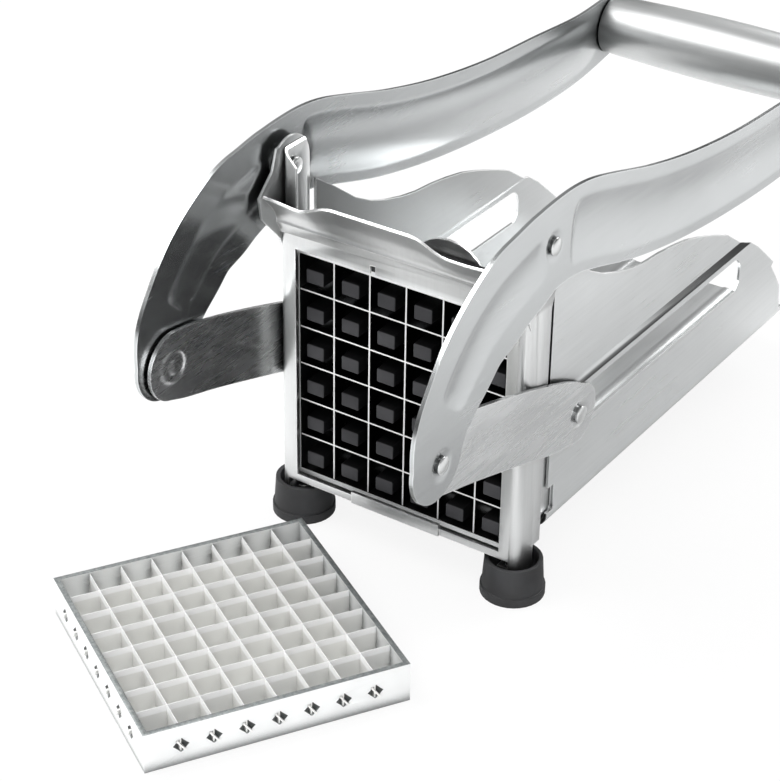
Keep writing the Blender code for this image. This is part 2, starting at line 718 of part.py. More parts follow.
def rear_leg_mesh():
    """Tapered tongue: welded under the floor, bent down, then forward over the rear foot."""
    top = FLOOR_LOW - SEAM_GAP
    bend = SHEET * 2
    back_top = FLOOR_END - SHEET
    back_low = back_top - REAR_LEG_SLANT
    tab_front = back_low - REAR_LEG_TAB
    rows = [
        (back_top - REAR_LEG_CHEST, top, REAR_LEG_TOP_WIDTH),
        (back_top - bend, top, REAR_LEG_TOP_WIDTH),
        (back_top, top - bend, REAR_LEG_TOP_WIDTH),
        (back_low, FOOT_HEIGHT + SHEET, REAR_LEG_FOOT_WIDTH),
        (back_low, LEG_LOW + bend, REAR_LEG_FOOT_WIDTH),
        (back_low - bend, LEG_LOW, REAR_LEG_FOOT_WIDTH),
        (tab_front, LEG_LOW, REAR_LEG_FOOT_WIDTH),
    ]
    outer = [(y, z) for y, z, width in rows]
    inner = offset_path(outer, -SHEET)
    rings = []
    for (y, z, width), (inner_y, inner_z) in zip(rows, inner):
        half = width / 2
        ring = [(-half, y, z), (half, y, z), (half, inner_y, inner_z), (-half, inner_y, inner_z)]
        rings.append(ring)
    return cut(loft(rings), foot_rivet_hole(0, REAR_FOOT_Y))


def foot_mesh(x, y):
    recess = FOOT_HEIGHT - FOOT_RECESS_DEPTH
    bore = FOOT_RIVET_RADIUS + SEAM_GAP
    profile = (
        (0, 0),
        (FOOT_FLANGE_RADIUS, 0),
        (FOOT_FLANGE_RADIUS, FOOT_FLANGE_HEIGHT),
        (FOOT_BODY_RADIUS, FOOT_FLANGE_HEIGHT),
        (FOOT_TOP_RADIUS, FOOT_HEIGHT),
        (FOOT_RECESS_RADIUS, FOOT_HEIGHT),
        (FOOT_RECESS_RADIUS, recess),
        (bore, recess),
        (bore, FOOT_FLANGE_HEIGHT),
        (0, FOOT_FLANGE_HEIGHT),
    )
    return lathe(profile, (x, y, 0))


def foot_rivet_mesh(x, y):
    low = FOOT_FLANGE_HEIGHT + SEAM_GAP
    head = LEG_LOW + SHEET + SEAM_GAP
    profile = (
        (0, low),
        (FOOT_RIVET_RADIUS, low),
        (FOOT_RIVET_RADIUS, head),
        (FOOT_RIVET_HEAD_RADIUS, head),
        (FOOT_RIVET_HEAD_RADIUS, head + FOOT_RIVET_HEAD / 2),
        (FOOT_RIVET_HEAD_RADIUS / 2, head + FOOT_RIVET_HEAD),
        (0, head + FOOT_RIVET_HEAD),
    )
    return lathe(profile, (x, y, 0))


def spline(rows, t):
    """Smooth curve through table rows, t from 0 to 1 along the table."""
    spot = t * (len(rows) - 1)
    i = min(int(spot), len(rows) - 2)
    u = spot - i
    p0, p1, p2, p3 = (rows[min(max(k, 0), len(rows) - 1)] for k in range(i - 1, i + 3))
    result = []
    for a, b, c, d in zip(p0, p1, p2, p3):
        bend = 2 * b + (c - a) * u + (2 * a - 5 * b + 4 * c - d) * u * u
        result.append((bend + (3 * b - a - 3 * c + d) * u ** 3) / 2)
    return result


def dished_plate(rows, stations, lanes, x_inner, thickness, dish):
    """Sheet that follows a centre line, with round ends and panels dished toward the middle.

    Rows hold place, height and half width; dish(t, across) gives the depth of the panel.
    """
    line = []
    for i in range(stations + 1):
        t = i / stations
        here = spline(rows, t)
        ahead = spline(rows, min(t + 1 / stations, 1))
        behind = spline(rows, max(t - 1 / stations, 0))
        way = Vector((ahead[0] - behind[0], ahead[1] - behind[1])).normalized()
        line.append((Vector(here[:2]), way, here[2], t))
    caps = []
    for end, sign in ((line[0], -1), (line[-1], 1)):
        centre, way, half, t = end
        cap = []
        for i in range(1, ARC_STEPS + 1):
            angle = math.pi / 2 * i / ARC_STEPS
            reach = centre + way * (sign * half * math.sin(angle))
            cap.append((reach, way, half * math.cos(angle), t))
        caps.append(cap)
    line = list(reversed(caps[0])) + line + caps[1]
    rings = []
    for place, way, half, t in line:
        side = Vector((-way[1], way[0]))
        inner = []
        outer = []
        for j in range(lanes + 1):
            across = 2 * j / lanes - 1
            spot = place + side * (half * across)
            depth = dish(t, across)
            inner.append(Vector((x_inner - depth, spot[0], spot[1])))
            outer.append(Vector((x_inner + thickness - depth, spot[0], spot[1])))
        rings.append(inner + list(reversed(outer)))
    shape = bmesh.new()
    grid = [[shape.verts.new(point) for point in ring] for ring in rings]
    count = len(grid[0])
    for first, second in zip(grid, grid[1:]):
        for i in range(count):
            j = (i + 1) % count
            shape.faces.new((first[i], first[j], second[j], second[i]))
    for row in (grid[0], grid[-1]):
        for i in range(lanes):
            shape.faces.new((row[i], row[i + 1], row[count - 2 - i], row[count - 1 - i]))
    bmesh.ops.dissolve_degenerate(shape, dist=SEAM_GAP / ROUND_STEPS, edges=shape.edges)
    return to_mesh(shape, "plate")


def dish_depth(t, across, span, width_share, depth):
    """Depth of a dished panel: flat floor, sloping sides, rounded ends."""
    start, end = span
    slope = (end - start) * DISH_SLOPE_SHARE
    along = ease((t - start) / slope) * ease((end - t) / slope)
    side = ease((width_share - abs(across)) / DISH_SLOPE_SHARE)
    return depth * along * side


def arm_mesh():
    """Right arm, drawn at rest."""
    rows = []
    for along, up, half in ARM_SHARES:
        place = (PIVOT_Y + ARM_REACH * along, PIVOT_HEIGHT + ARM_REACH * up)
        rows.append((*place, ARM_HALF_WIDTH * half))

    def dish(t, across):
        front = dish_depth(t, across, FRONT_DISH_SHARES, DISH_WIDTH_SHARE, FRONT_DISH)
        return front + dish_depth(t, across, REAR_DISH_SHARES, DISH_WIDTH_SHARE, REAR_DISH)

    plate = dished_plate(rows, ARM_STATIONS, ARM_LANES, ARM_INNER, LEVER_SHEET, dish)
    reach = (ARM_INNER - CUT_OVERRUN, ARM_OUTER + CUT_OVERRUN)
    rivet = RIVET_RADIUS + SEAM_GAP
    crank = rod(rivet, "X", *reach, CRANK_Y, CRANK_HEIGHT)
    pivot = rod(rivet, "X", *reach, PIVOT_Y, PIVOT_HEIGHT)
    tie = rod(TIE_ROD_RADIUS + SEAM_GAP, "X", *reach, HANDLE_Y, HANDLE_HEIGHT)
    return cut(plate, crank, pivot, tie)


def link_mesh():
    """Right link, drawn at rest, with the boss of its front pin on the inner face."""
    rows = []
    for along, across, half in LINK_SHARES:
        rise = math.sin(LINK_SLOPE) * along + math.cos(LINK_SLOPE) * across
        run = math.cos(LINK_SLOPE) * along - math.sin(LINK_SLOPE) * across
        place = (CRANK_Y + LINK_LENGTH * run, CRANK_HEIGHT + LINK_LENGTH * rise)
        rows.append((*place, LINK_HALF_WIDTH * half))

    def dish(t, across):
        return dish_depth(t, across, LINK_DISH_SHARES, LINK_DISH_WIDTH_SHARE, LINK_DISH)

    plate = dished_plate(rows, LINK_STATIONS, LINK_LANES, LINK_INNER, LEVER_SHEET, dish)
    boss_low = LINK_INNER - LINK_BOSS_HEIGHT
    boss = rod(LINK_BOSS_RADIUS, "X", boss_low, LINK_INNER + LEVER_SHEET / 2, CRANK_Y, CRANK_HEIGHT)
    reach = (LINK_INNER - CUT_OVERRUN, LINK_OUTER + CUT_OVERRUN)
    axle = rod(AXLE_RADIUS + SEAM_GAP, "X", *reach, AXLE_Y, AXLE_HEIGHT)
    return cut(fuse(plate, boss), axle)


def headed_pin(radius, head_radius, head, start, y, z):
    """Pin from the start to a low domed head outside the arm."""
    end = HEAD_INNER + head
    profile = (
        (0, start),
        (radius, start),
        (radius, HEAD_INNER),
        (head_radius, HEAD_INNER),
        (head_radius, HEAD_INNER + head / 2),
        (head_radius / 2, end),
        (0, end),
    )
    return lathe(profile, (0, y, z), "X")


def pivot_rivet_mesh():
    pin = headed_pin(RIVET_RADIUS, RIVET_HEAD_RADIUS, RIVET_HEAD, POST_INNER - SEAM_GAP,
                     PIVOT_Y, PIVOT_HEIGHT)
    tail = (POST_INNER - SEAM_GAP - RIVET_HEAD, POST_INNER - SEAM_GAP)
    button = rod(RIVET_HEAD_RADIUS, "X", *tail, PIVOT_Y, PIVOT_HEIGHT)
    return fuse(pin, button)


def spacer_mesh():
    bore = RIVET_RADIUS + SEAM_GAP
    low = FRAME_OUTER + SEAM_GAP
    high = ARM_INNER - SEAM_GAP
    profile = ((bore, low), (SPACER_RADIUS, low), (SPACER_RADIUS, high), (bore, high))
    return lathe(profile, (0, PIVOT_Y, PIVOT_HEIGHT), "X")


def barrel_mesh():
    """Hollow barrel, a little fuller in the middle, closed round the tie rod at both ends."""
    half = ARM_INNER - SEAM_GAP
    steps = ARC_STEPS * 2
    swell = HANDLE_MIDDLE_RADIUS - HANDLE_END_RADIUS
    outside = []
    inside = []
    for i in range(steps + 1):
        along = 2 * i / steps - 1
        radius = HANDLE_END_RADIUS + swell * math.cos(along * math.pi / 2)
        outside.append((radius, half * along))
        inside.append((radius - HANDLE_WALL, (half - HANDLE_WALL) * along))
    bore = TIE_ROD_RADIUS + SEAM_GAP
    profile = [(bore, -half)] + outside + [(bore, half), (bore, half - HANDLE_WALL)]
    profile += list(reversed(inside)) + [(bore, HANDLE_WALL - half)]
    return lathe(profile, (0, HANDLE_Y, HANDLE_HEIGHT), "X")


def tie_rod_mesh():
    half = headed_pin(TIE_ROD_RADIUS, TIE_HEAD_RADIUS, RIVET_HEAD, -CUT_OVERRUN, HANDLE_Y, HANDLE_HEIGHT)
    return fuse(half, mirrored(half))


def axle_mesh():
    """Axle with a round bush in each slot and a head outside each link."""
    bush = SLOT_HEIGHT / 2 - AXLE_BUSH_GAP
    bush_start = PUSHER_HALF + AXLE_HEAD * 2
    bush_end = LINK_INNER - SEAM_GAP - LINK_DISH / 2
    head_start = LINK_OUTER + SEAM_GAP / 2
    half = [
        (AXLE_RADIUS, bush_start),
        (bush, bush_start),
        (bush, bush_end),
        (AXLE_RADIUS, bush_end),
        (AXLE_RADIUS, head_start),
        (AXLE_HEAD_RADIUS, head_start),
        (AXLE_HEAD_RADIUS, head_start + AXLE_HEAD),
        (0, head_start + AXLE_HEAD),
    ]
    profile = [(radius, -along) for radius, along in reversed(half)] + half
    return lathe(profile, (0, AXLE_Y, AXLE_HEIGHT), "X")


def pusher_mesh():
    """Black block: a base plate with one tapered peg for each cell of the mounted insert."""
    top = GRID_MIDDLE + PUSHER_HALF
    rear = PUSHER_FRONT + PUSHER_BASE
    block = box((-PUSHER_HALF, PUSHER_HALF), (PUSHER_FRONT, rear), (PEG_LOW, top))
    pegs = []
    centre_shift = (MOUNTED_CELLS - 1) / 2
    for column in range(MOUNTED_CELLS):
        for row in range(MOUNTED_CELLS):
            x = (column - centre_shift) * MOUNTED_PITCH
            z = GRID_MIDDLE + (row - centre_shift) * MOUNTED_PITCH - PEG_DROP
            half_x = PEG_WIDTH / 2
            half_z = PEG_HEIGHT / 2
            rings = []
            for y, extra in ((-PEG_OVERREACH, 0), (PUSHER_FRONT + PUSHER_BASE / 2, PEG_TAPER)):
                side = half_x + extra
                tall = half_z
                ring = [(x - side, y, z - tall), (x + side, y, z - tall)]
                rings.append(ring + [(x + side, y, z + tall), (x - side, y, z + tall)])
            pegs.append(loft(rings))
    return fuse(block, group(*pegs))


def carrier_mesh():
    """Bent plate behind the block: rounded hump on top, an ear each side for the axle."""
    hump = (0, CARRIER_TOP - CARRIER_HUMP_RADIUS)
    outline = [(-CARRIER_HALF_WIDTH, CARRIER_LOW), (CARRIER_HALF_WIDTH, CARRIER_LOW)]
    shoulder = CARRIER_HALF_WIDTH - CARRIER_EAR_DEPTH
    outline += [(CARRIER_HALF_WIDTH, CARRIER_HIGH), (shoulder, hump[1] - CARRIER_EAR_DEPTH)]
    outline += arc(hump, CARRIER_HUMP_RADIUS, 0, 180, ARC_STEPS * 2)
    outline += [(-shoulder, hump[1] - CARRIER_EAR_DEPTH)]
    outline += [(-CARRIER_HALF_WIDTH, CARRIER_HIGH)]
    plate = prism(outline, "Y", CARRIER_FRONT, CARRIER_REAR)
    ear_x = (CARRIER_HALF_WIDTH - SHEET, CARRIER_HALF_WIDTH)
    ear_y = (CARRIER_FRONT + SHEET / 2, CARRIER_FRONT + CARRIER_EAR_DEPTH)
    ear = box(ear_x, ear_y, (CARRIER_LOW, CARRIER_HIGH))
    reach = CARRIER_HALF_WIDTH + CUT_OVERRUN
    hole = rod(AXLE_RADIUS + SEAM_GAP, "X", -reach, reach, AXLE_Y, AXLE_HEIGHT)
    return cut(fuse(plate, ear, mirrored(ear)), hole)


def build():
    clear_scene()
    materials = {
        "steel": make_material("brushed_steel", (0.62, 0.63, 0.64), 0.34, 1.0),
        "blade": make_material("blade_steel", (0.72, 0.73, 0.74), 0.22, 1.0),
        "plastic": make_material("black_plastic", (0.012, 0.012, 0.013), 0.45, 0.0),
        "rubber": make_material("black_rubber", (0.02, 0.02, 0.022), 0.7, 0.0),
        "rivet": make_material("rivet_steel", (0.66, 0.67, 0.68), 0.25, 1.0),
    }
    root = add_empty("cutter", (0, 0, 0))
    pivot = add_empty("lever_axis", (0, PIVOT_Y, PIVOT_HEIGHT), root)
    slide = add_empty("pusher_slide", (0, AXLE_Y, AXLE_HEIGHT), root)
    link_axis = add_empty("link_axis", (0, AXLE_Y, AXLE_HEIGHT), root)
    steel = materials["steel"]
    rivet = materials["rivet"]

    add_node("trough", trough_mesh(), steel, root)
    add_node("front_frame", front_frame_mesh(), steel, root)
    post = post_mesh()
    add_node("right_post", post, steel, root)
    add_node("left_post", mirrored(post), steel, root)
    add_node("rear_leg", rear_leg_mesh(), steel, root)
    foot_places = (
        ("right_foot", FOOT_X, FOOT_Y),
        ("left_foot", -FOOT_X, FOOT_Y),
        ("rear_foot", 0, REAR_FOOT_Y),
    )
    for name, x, y in foot_places:
        add_node(name, foot_mesh(x, y), materials["rubber"], root)
        add_node(name + "_rivet", foot_rivet_mesh(x, y), rivet, root)
    pivot_rivet = pivot_rivet_mesh()
    add_node("right_pivot_rivet", pivot_rivet, rivet, root)
    add_node("left_pivot_rivet", mirrored(pivot_rivet), rivet, root)
    spacer = spacer_mesh()
    add_node("right_pivot_spacer", spacer, rivet, root)
    add_node("left_pivot_spacer", mirrored(spacer), rivet, root)

    arm = arm_mesh()
    crank = headed_pin(RIVET_RADIUS, RIVET_HEAD_RADIUS, RIVET_HEAD, LINK_OUTER + SEAM_GAP,
                       CRANK_Y, CRANK_HEIGHT)
    add_node("left_arm", mirrored(arm), steel, pivot)
    add_node("right_arm", arm, steel, pivot)
    add_node("left_crank_rivet", mirrored(crank), rivet, pivot)
    add_node("right_crank_rivet", crank, rivet, pivot)
    add_node("handle_barrel", barrel_mesh(), steel, pivot)
    add_node("tie_rod", tie_rod_mesh(), rivet, pivot)

    link = link_mesh()
    add_node("left_link", mirrored(link), steel, link_axis)
    add_node("right_link", link, steel, link_axis)

    add_node("pusher_block", pusher_mesh(), materials["plastic"], slide)
    add_node("pusher_carrier", carrier_mesh(), steel, slide)
    add_node("axle", axle_mesh(), rivet, slide)

    mounted = add_empty("mounted_insert_seat", (0, 0, SEAT_HEIGHT), root)
    upright = Matrix.Translation((0, INSERT_DEPTH, GRID_MIDDLE)) @ Matrix.Rotation(math.pi / 2, 4, "X")
    build_insert("mounted", MOUNTED_PITCH, MOUNTED_CELLS, materials, mounted, upright)
    loose = add_empty("loose_insert_place", (LOOSE_X, LOOSE_Y, 0), root)
    flat = Matrix.Translation((LOOSE_X, LOOSE_Y, 0)) @ Matrix.Rotation(LOOSE_TURN, 4, "Z")
    build_insert("loose", LOOSE_PITCH, LOOSE_CELLS, materials, loose, flat)

    centre_on_underside(root)


def centre_on_underside(root):
    """Move everything so that the origin is the middle of the whole object's underside."""
    bpy.context.view_layer.update()
    points = []
    for item in bpy.data.objects:
        if item.type == "MESH":
            points += [item.matrix_world @ vertex.co for vertex in item.data.vertices]
    lows = [min(point[k] for point in points) for k in range(3)]
    highs = [max(point[k] for point in points) for k in range(3)]
    root.location = (-(lows[0] + highs[0]) / 2, -(lows[1] + highs[1]) / 2, -lows[2])
    bpy.context.view_layer.update()
    print("shift", [round(value, 6) for value in root.location])
    print("travel", round(TRAVEL, 6), "link slope", round(math.degrees(LINK_SLOPE), 4))


build()
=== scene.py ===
"""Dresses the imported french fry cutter: fine sheet edges, dished arms, brushed steel, rubber."""
import json
import math

import bmesh
import bpy
from mathutils import Matrix, Vector


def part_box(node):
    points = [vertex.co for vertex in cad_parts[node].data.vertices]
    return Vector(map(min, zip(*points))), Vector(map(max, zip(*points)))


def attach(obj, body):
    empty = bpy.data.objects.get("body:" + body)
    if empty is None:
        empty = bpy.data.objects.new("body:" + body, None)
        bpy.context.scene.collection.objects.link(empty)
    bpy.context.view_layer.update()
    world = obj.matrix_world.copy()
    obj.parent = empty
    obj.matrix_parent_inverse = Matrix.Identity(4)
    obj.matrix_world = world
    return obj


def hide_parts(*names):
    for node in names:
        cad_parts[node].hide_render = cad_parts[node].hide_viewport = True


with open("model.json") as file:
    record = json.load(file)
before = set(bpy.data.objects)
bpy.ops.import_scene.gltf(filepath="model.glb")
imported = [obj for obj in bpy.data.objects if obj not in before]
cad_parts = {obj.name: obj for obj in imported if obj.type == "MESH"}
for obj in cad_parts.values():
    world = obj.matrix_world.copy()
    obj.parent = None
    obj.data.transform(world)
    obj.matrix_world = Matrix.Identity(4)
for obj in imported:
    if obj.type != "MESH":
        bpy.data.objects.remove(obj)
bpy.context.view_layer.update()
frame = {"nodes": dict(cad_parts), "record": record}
NODES = frame["nodes"]
BODIES = frame["record"]["behaviour"]["bodies"]
BODY_OF = {node: body for body, members in BODIES.items() for node in members}

# Camera, worked out from the crossings of the blade grid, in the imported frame
PHOTO_WIDTH = 780
CAMERA_FROM_GRID = Vector((0.321527, -0.49079, 0.41025))
CAMERA_AZIMUTH = math.radians(33.625)
CAMERA_ELEVATION = math.radians(31.02)
CAMERA_ROLL = math.radians(0.855)
FOCAL_PIXELS = 2327.98
SENSOR_WIDTH = 36.0
NEAR_CLIP = 0.01

# Foot of the mounted grid's front face, on the centre plane
GRID_FOOT = Vector((
    (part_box("front_frame")[0][0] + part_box("front_frame")[1][0]) / 2,
    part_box("mounted_insert_frame")[0][1],
    0,
))

# Fine edges: rounding of each kind of piece, and the angles that count as flat, bent or sharp
SHEET_EDGE = 0.00018
HEM_EDGE = 0.0003
POST_EDGE = 0.0004
PIN_EDGE = 0.0001
PLASTIC_EDGE = 0.00045
RUBBER_EDGE = 0.00060
SMOOTH_ANGLE = math.radians(38)
BEND_ANGLE = math.radians(16)
FLAT_ANGLE = math.radians(0.5)
FLAT_WEIGHT = 60
NODE_WELD = 0.000002

# Upper bend of the trough's joggle, drawn a little lower to make the step crisp
JOGGLE_TOP = 0.06385
JOGGLE_REACH = 0.0006
JOGGLE_PULL = 0.0018

# Lever plates. PIVOT and CRANK are places back and up from the grid's foot. A row of line shares
# is a point along and up from the pivot, or along and across from the crank, and a half width
LEVER_SHEET = 0.0012
PIVOT = (0.0025, 0.1183)
ARM_REACH = 0.1972
ARM_HALF_WIDTH = 0.0139
ARM_INNER = 0.0454
LINK_INNER = 0.0434
CRANK = (-0.0522, 0.0763)
ARM_LINE_SHARES = (
    (-0.2865, -0.2044, 0.863),
    (-0.2754, -0.1592, 1.0),
    (-0.25, -0.1227, 1.065),
    (-0.2155, -0.0872, 1.144),
    (-0.1749, -0.0548, 1.144),
    (-0.1242, -0.0319, 1.194),
    (-0.0811, -0.0188, 1.122),
    (-0.038, -0.0091, 1.079),
    (0.0, -0.0015, 1.007),
    (0.0456, -0.0005, 1.0),
    (0.0913, -0.0061, 0.996),
    (0.1521, -0.0223, 1.0),
    (0.2662, -0.0553, 1.007),
    (0.4031, -0.0842, 0.993),
    (0.5629, -0.106, 0.978),
    (0.7328, -0.1182, 0.978),
    (0.8798, -0.1227, 0.899),
    (1.0, -0.1121, 0.82),
)
LINK_LINE_SHARES = (
    (0.0, 0.0, 0.93),
    (0.1, 0.006, 0.99),
    (0.3, 0.014, 1.0),
    (0.6, 0.014, 1.0),
    (0.85, 0.006, 0.97),
    (1.0, 0.0, 0.84),
)
LINK_HALF_WIDTH = 0.0114
# Pressed panels: start and end along the plate, low and high side across it, depth in metres,
# and the length of each rounded end along the plate
ARM_PANELS = (
    (0.100, 0.435, -0.46, 0.42, 0.0007, 0.030),
    (0.530, 0.970, -0.74, 0.68, 0.0014, 0.034),
)
LINK_PANELS = ((0.30, 0.78, -0.55, 0.55, 0.0002, 0.10),)
# Dimples round the pins' heads, and the stamped ring and button on a link's inner face
DIMPLE_RADIUS = 0.0050
DIMPLE_SLOPE = 0.0018
DIMPLE_DEPTH = 0.00035
STAMP_DEPTH = 0.00036
RING_RADIUS = 0.0048
RING_WIDTH = 0.0011
BUTTON_RADIUS = 0.0030
BUTTON_SLOPE = 0.0006
BUTTON_SHARE = 0.9
# Fineness of the plates: stations along, lanes across, steps round each end
ARM_FINENESS = (340, 40)
LINK_FINENESS = (130, 52)
CAP_STEPS = 12
SLOPE_SHARE = 0.01
PLATE_WELD = 0.00002

# Cutting grids
INSERT_DEPTH = 0.0127
LOOSE_CELLS = 8
LOOSE_PITCH = 0.009525
MOUNTED_CELLS = 6
MOUNTED_PITCH = 0.0127
LOOSE_TURN = math.radians(-31.44)
STRIP_LENGTH = 0.0774
STRIP_THICKNESS = 0.0005
STRIP_INSET = 0.0004
STRIP_GROUND = 0.0018
SHARPNESS_SHARE = 0.7
CROSS_HEIGHT_SHARE = 0.996
TAB_REACH = 0.0013
TAB_WIDTH = 0.0040
TAB_TWIST = math.radians(35)
BAND_HALF = 0.0392
DIAMOND_HALF = 0.0024
DIAMOND_DEPTH = 0.0008
GRID_INPUTS = (
    ("Count", "NodeSocketInt"),
    ("Pitch", "NodeSocketFloat"),
    ("Length", "NodeSocketFloat"),
    ("Depth", "NodeSocketFloat"),
    ("Thickness", "NodeSocketFloat"),
    ("Ground", "NodeSocketFloat"),
    ("Sharpness", "NodeSocketFloat"),
    ("Reach", "NodeSocketFloat"),
    ("Tab Width", "NodeSocketFloat"),
    ("Twist", "NodeSocketFloat"),
    ("Material", "NodeSocketMaterial"),
)

# Steel finishes: tone, noise scale and brushing of each piece
TROUGH_TONE = (0.700, 0.715, 0.718)
SHEET_TONE = (0.68, 0.69, 0.69)
# The front frame's lighter tone is painted light, standing in for the bright light on its front columns
FRONT_TONE = (0.76, 0.77, 0.77)
LINK_TONE = (0.70, 0.71, 0.715)
ARM_TONE = (0.545, 0.560, 0.565)
HANDLE_TONE = (0.58, 0.59, 0.59)
RIVET_TONE = (0.70, 0.71, 0.71)
SHEET_GRAIN = 900.0
PLATE_GRAIN = 700.0
HANDLE_GRAIN = 1200.0
RIVET_GRAIN = 500.0
ALONG_Z = (1, 1, 0.03)
ALONG_PLATE = (1, 0.05, 1)
SHEET_LINE_DEPTH = 0.000004
PLATE_LINE_DEPTH = 0.000002
HANDLE_LINE_DEPTH = 0.00001
# What every brushed steel shares: lines against patches, painted shade in corners, and edges painted
# brighter, a painted highlight that is partly rubbing wear
LINES_SHARE = 0.45
PATCH_SCALE = 28.0
DULL_SHARE = 0.84
CORNER_START = 0.25
CORNER_GAIN = 1.6
RUB_SHEEN_RADIUS = 0.0006
RUB_SHEEN_GAIN = 6.0
RUB_SHEEN_SHARE = 1.45
RUB_SHEEN_LIMIT = 0.95
# Painted dark reflections, where steel mirrors something dark: the tone there, the trough's fade, the
# collar's tones
DIM_SHARE = 0.20
FRONT_DARK = 0.98
FADE_PER_METRE = 4.0
COLLAR_FOOT = 0.0955
COLLAR_TONES = ((0.10, 0.02), (0.24, 0.10), (0.30, 0.62), (0.42, 0.50), (0.50, 0.28), (1.0, 0.34))
# Insert colours: black for painted black reflections, a grey for painted shade in hollows, white for a
# painted highlight on the ground bevel
BAND_BLACK = (0.035, 0.036, 0.037)
BAND_HOLLOW = (0.20, 0.21, 0.21)
STRIP_BLACK = (0.06, 0.062, 0.064)
GROUND_WHITE = (0.98, 0.98, 0.98)
STRIP_PATCH_SCALE = 60.0

# White table and room: what the camera sees, and what the metal mirrors
TABLE_HALF = 4.0
TABLE_DROP = 0.00005
TABLE_WHITE = (0.88, 0.88, 0.88)
TABLE_GLOW_SHARE = 0.88
TABLE_TONES = (
    (0.0, 0.98), (0.57, 0.96), (0.66, 0.76), (0.70, 0.50), (0.73, 0.55), (0.785, 0.82), (1.0, 0.92),
)
ROOM_HEIGHT_TONES = ((0.0, 0.60), (0.48, 0.50), (0.52, 0.10), (0.60, 0.16), (0.70, 0.70), (0.90, 1.0))
ROOM_SIDE_TONES = ((0.0, 1.0), (0.35, 0.45), (0.6, 0.9), (1.0, 0.4))
ROOM_STRENGTH = 0.9
WHITE = (1, 1, 1)
LAMP_TARGET = (0, -0.03, 0.06)
# Name, place, width and height, watts
LAMPS = (
    ("key", (-0.5, -0.35, 0.9), (0.7, 0.7), 9),
    ("front", (0.55, -0.9, 0.35), (0.5, 0.9), 5),
    ("back", (0.2, 0.9, 0.7), (0.9, 0.4), 8),
)


class Socket:
    """A node's output with arithmetic: each operator adds a Math node."""

    def __init__(self, tree, output):
        self.tree = tree
        self.output = output

    def __add__(self, other):
        return self.tree.math("ADD", self, other)

    def __radd__(self, other):
        return self.tree.math("ADD", other, self)

    def __sub__(self, other):
        return self.tree.math("SUBTRACT", self, other)

    def __rsub__(self, other):
        return self.tree.math("SUBTRACT", other, self)

    def __mul__(self, other):
        return self.tree.math("MULTIPLY", self, other)

    def __rmul__(self, other):
        return self.tree.math("MULTIPLY", other, self)

    def __truediv__(self, other):
        return self.tree.math("DIVIDE", self, other)

    def __rtruediv__(self, other):
        return self.tree.math("DIVIDE", other, self)

    def clamped(self):
        return self.tree.math("ADD", self, 0.0, use_clamp=True)

    def past(self, edge, gain):
        """Nothing up to an edge, then a ramp up to one."""
        return ((self - edge) * gain).clamped()


class Tree:
    """Node tree builder: one method adds any node, with settings first and inputs after."""

    def __init__(self, tree):
        self.tree = tree
        tree.nodes.clear()

    def node(self, kind, inputs=None, output=0, stops=None, **settings):
        made = self.tree.nodes.new(kind)
        for name, value in settings.items():
            setattr(made, name, value)
        if stops:
            ramp = made.color_ramp
            while len(ramp.elements) < len(stops):
                ramp.elements.new(0.5)
            for element, (place, tone) in zip(ramp.elements, stops):
                element.position = place
                element.color = (tone, tone, tone, 1) if isinstance(tone, float) else (*tone, 1)
        for key, value in (inputs or {}).items():
            if isinstance(value, Socket):
                self.tree.links.new(value.output, made.inputs[key])
            else:
                made.inputs[key].default_value = value
        return Socket(self, made.outputs[output])

    def math(self, operation, *values, **settings):
        return self.node("ShaderNodeMath", dict(enumerate(values)), operation=operation, **settings)

    def part(self, vector, axis):
        """One number of a vector: 0, 1 or 2 for x, y or z."""
        return self.node("ShaderNodeSeparateXYZ", {0: vector}, output=axis)

    def spot(self):
        return self.node("ShaderNodeTexCoord", output="Object")

    def normal(self):
        return self.node("ShaderNodeNewGeometry", output="Normal")

    def place(self, stretch=(1, 1, 1)):
        """Object coordinates, stretched along the lines of the brushing."""
        return self.node("ShaderNodeMapping", {"Vector": self.spot(), "Scale": stretch})

    def noise(self, vector, scale, detail=3.0, roughness=0.5):
        inputs = {"Vector": vector, "Scale": scale, "Detail": detail, "Roughness": roughness}
        return self.node("ShaderNodeTexNoise", inputs)

    def ramp(self, value, stops):
        return self.node("ShaderNodeValToRGB", {"Fac": value}, stops=stops)

    def bump(self, height, strength, distance):
        inputs = {"Height": height, "Strength": strength, "Distance": distance}
        return self.node("ShaderNodeBump", inputs)

    def mix(self, factor, first, second):
        inputs = {0: factor, 6: first, 7: second}
        return self.node("ShaderNodeMix", inputs, output=2, data_type="RGBA")

    def join(self, *parts):
        made = self.tree.nodes.new("GeometryNodeJoinGeometry")
        for part in parts:
            self.tree.links.new(part.output, made.inputs[0])
        return Socket(self, made.outputs[0])

    def rubbed_sheen(self, radius):
        """One along outer edges, nothing on flats."""
        soft = self.node("ShaderNodeBevel", {"Radius": radius}, samples=4)
        inputs = {0: soft, 1: self.normal()}
        near = self.node("ShaderNodeVectorMath", inputs, output=1, operation="DOT_PRODUCT")
        return ((1.0 - near) * RUB_SHEEN_GAIN).clamped()

    def corner(self, reach):
        """Less than one in corners and hollows."""
        return self.node("ShaderNodeAmbientOcclusion", {"Distance": reach}, output=1, samples=6)

    def surface(self, shader, kind="ShaderNodeOutputMaterial"):
        sink = self.tree.nodes.new(kind)
        self.tree.links.new(shader.output, sink.inputs["Surface"])


def new_material(name):
    material = bpy.data.materials.new(name)
    material.use_nodes = True
    return material, Tree(material.node_tree)


def solid(tone, share=1.0, limit=1.0):
    """A colour for a node's socket: a tone, or a share of it."""
    return tuple(min(value * share, limit) for value in tone) + (1,)


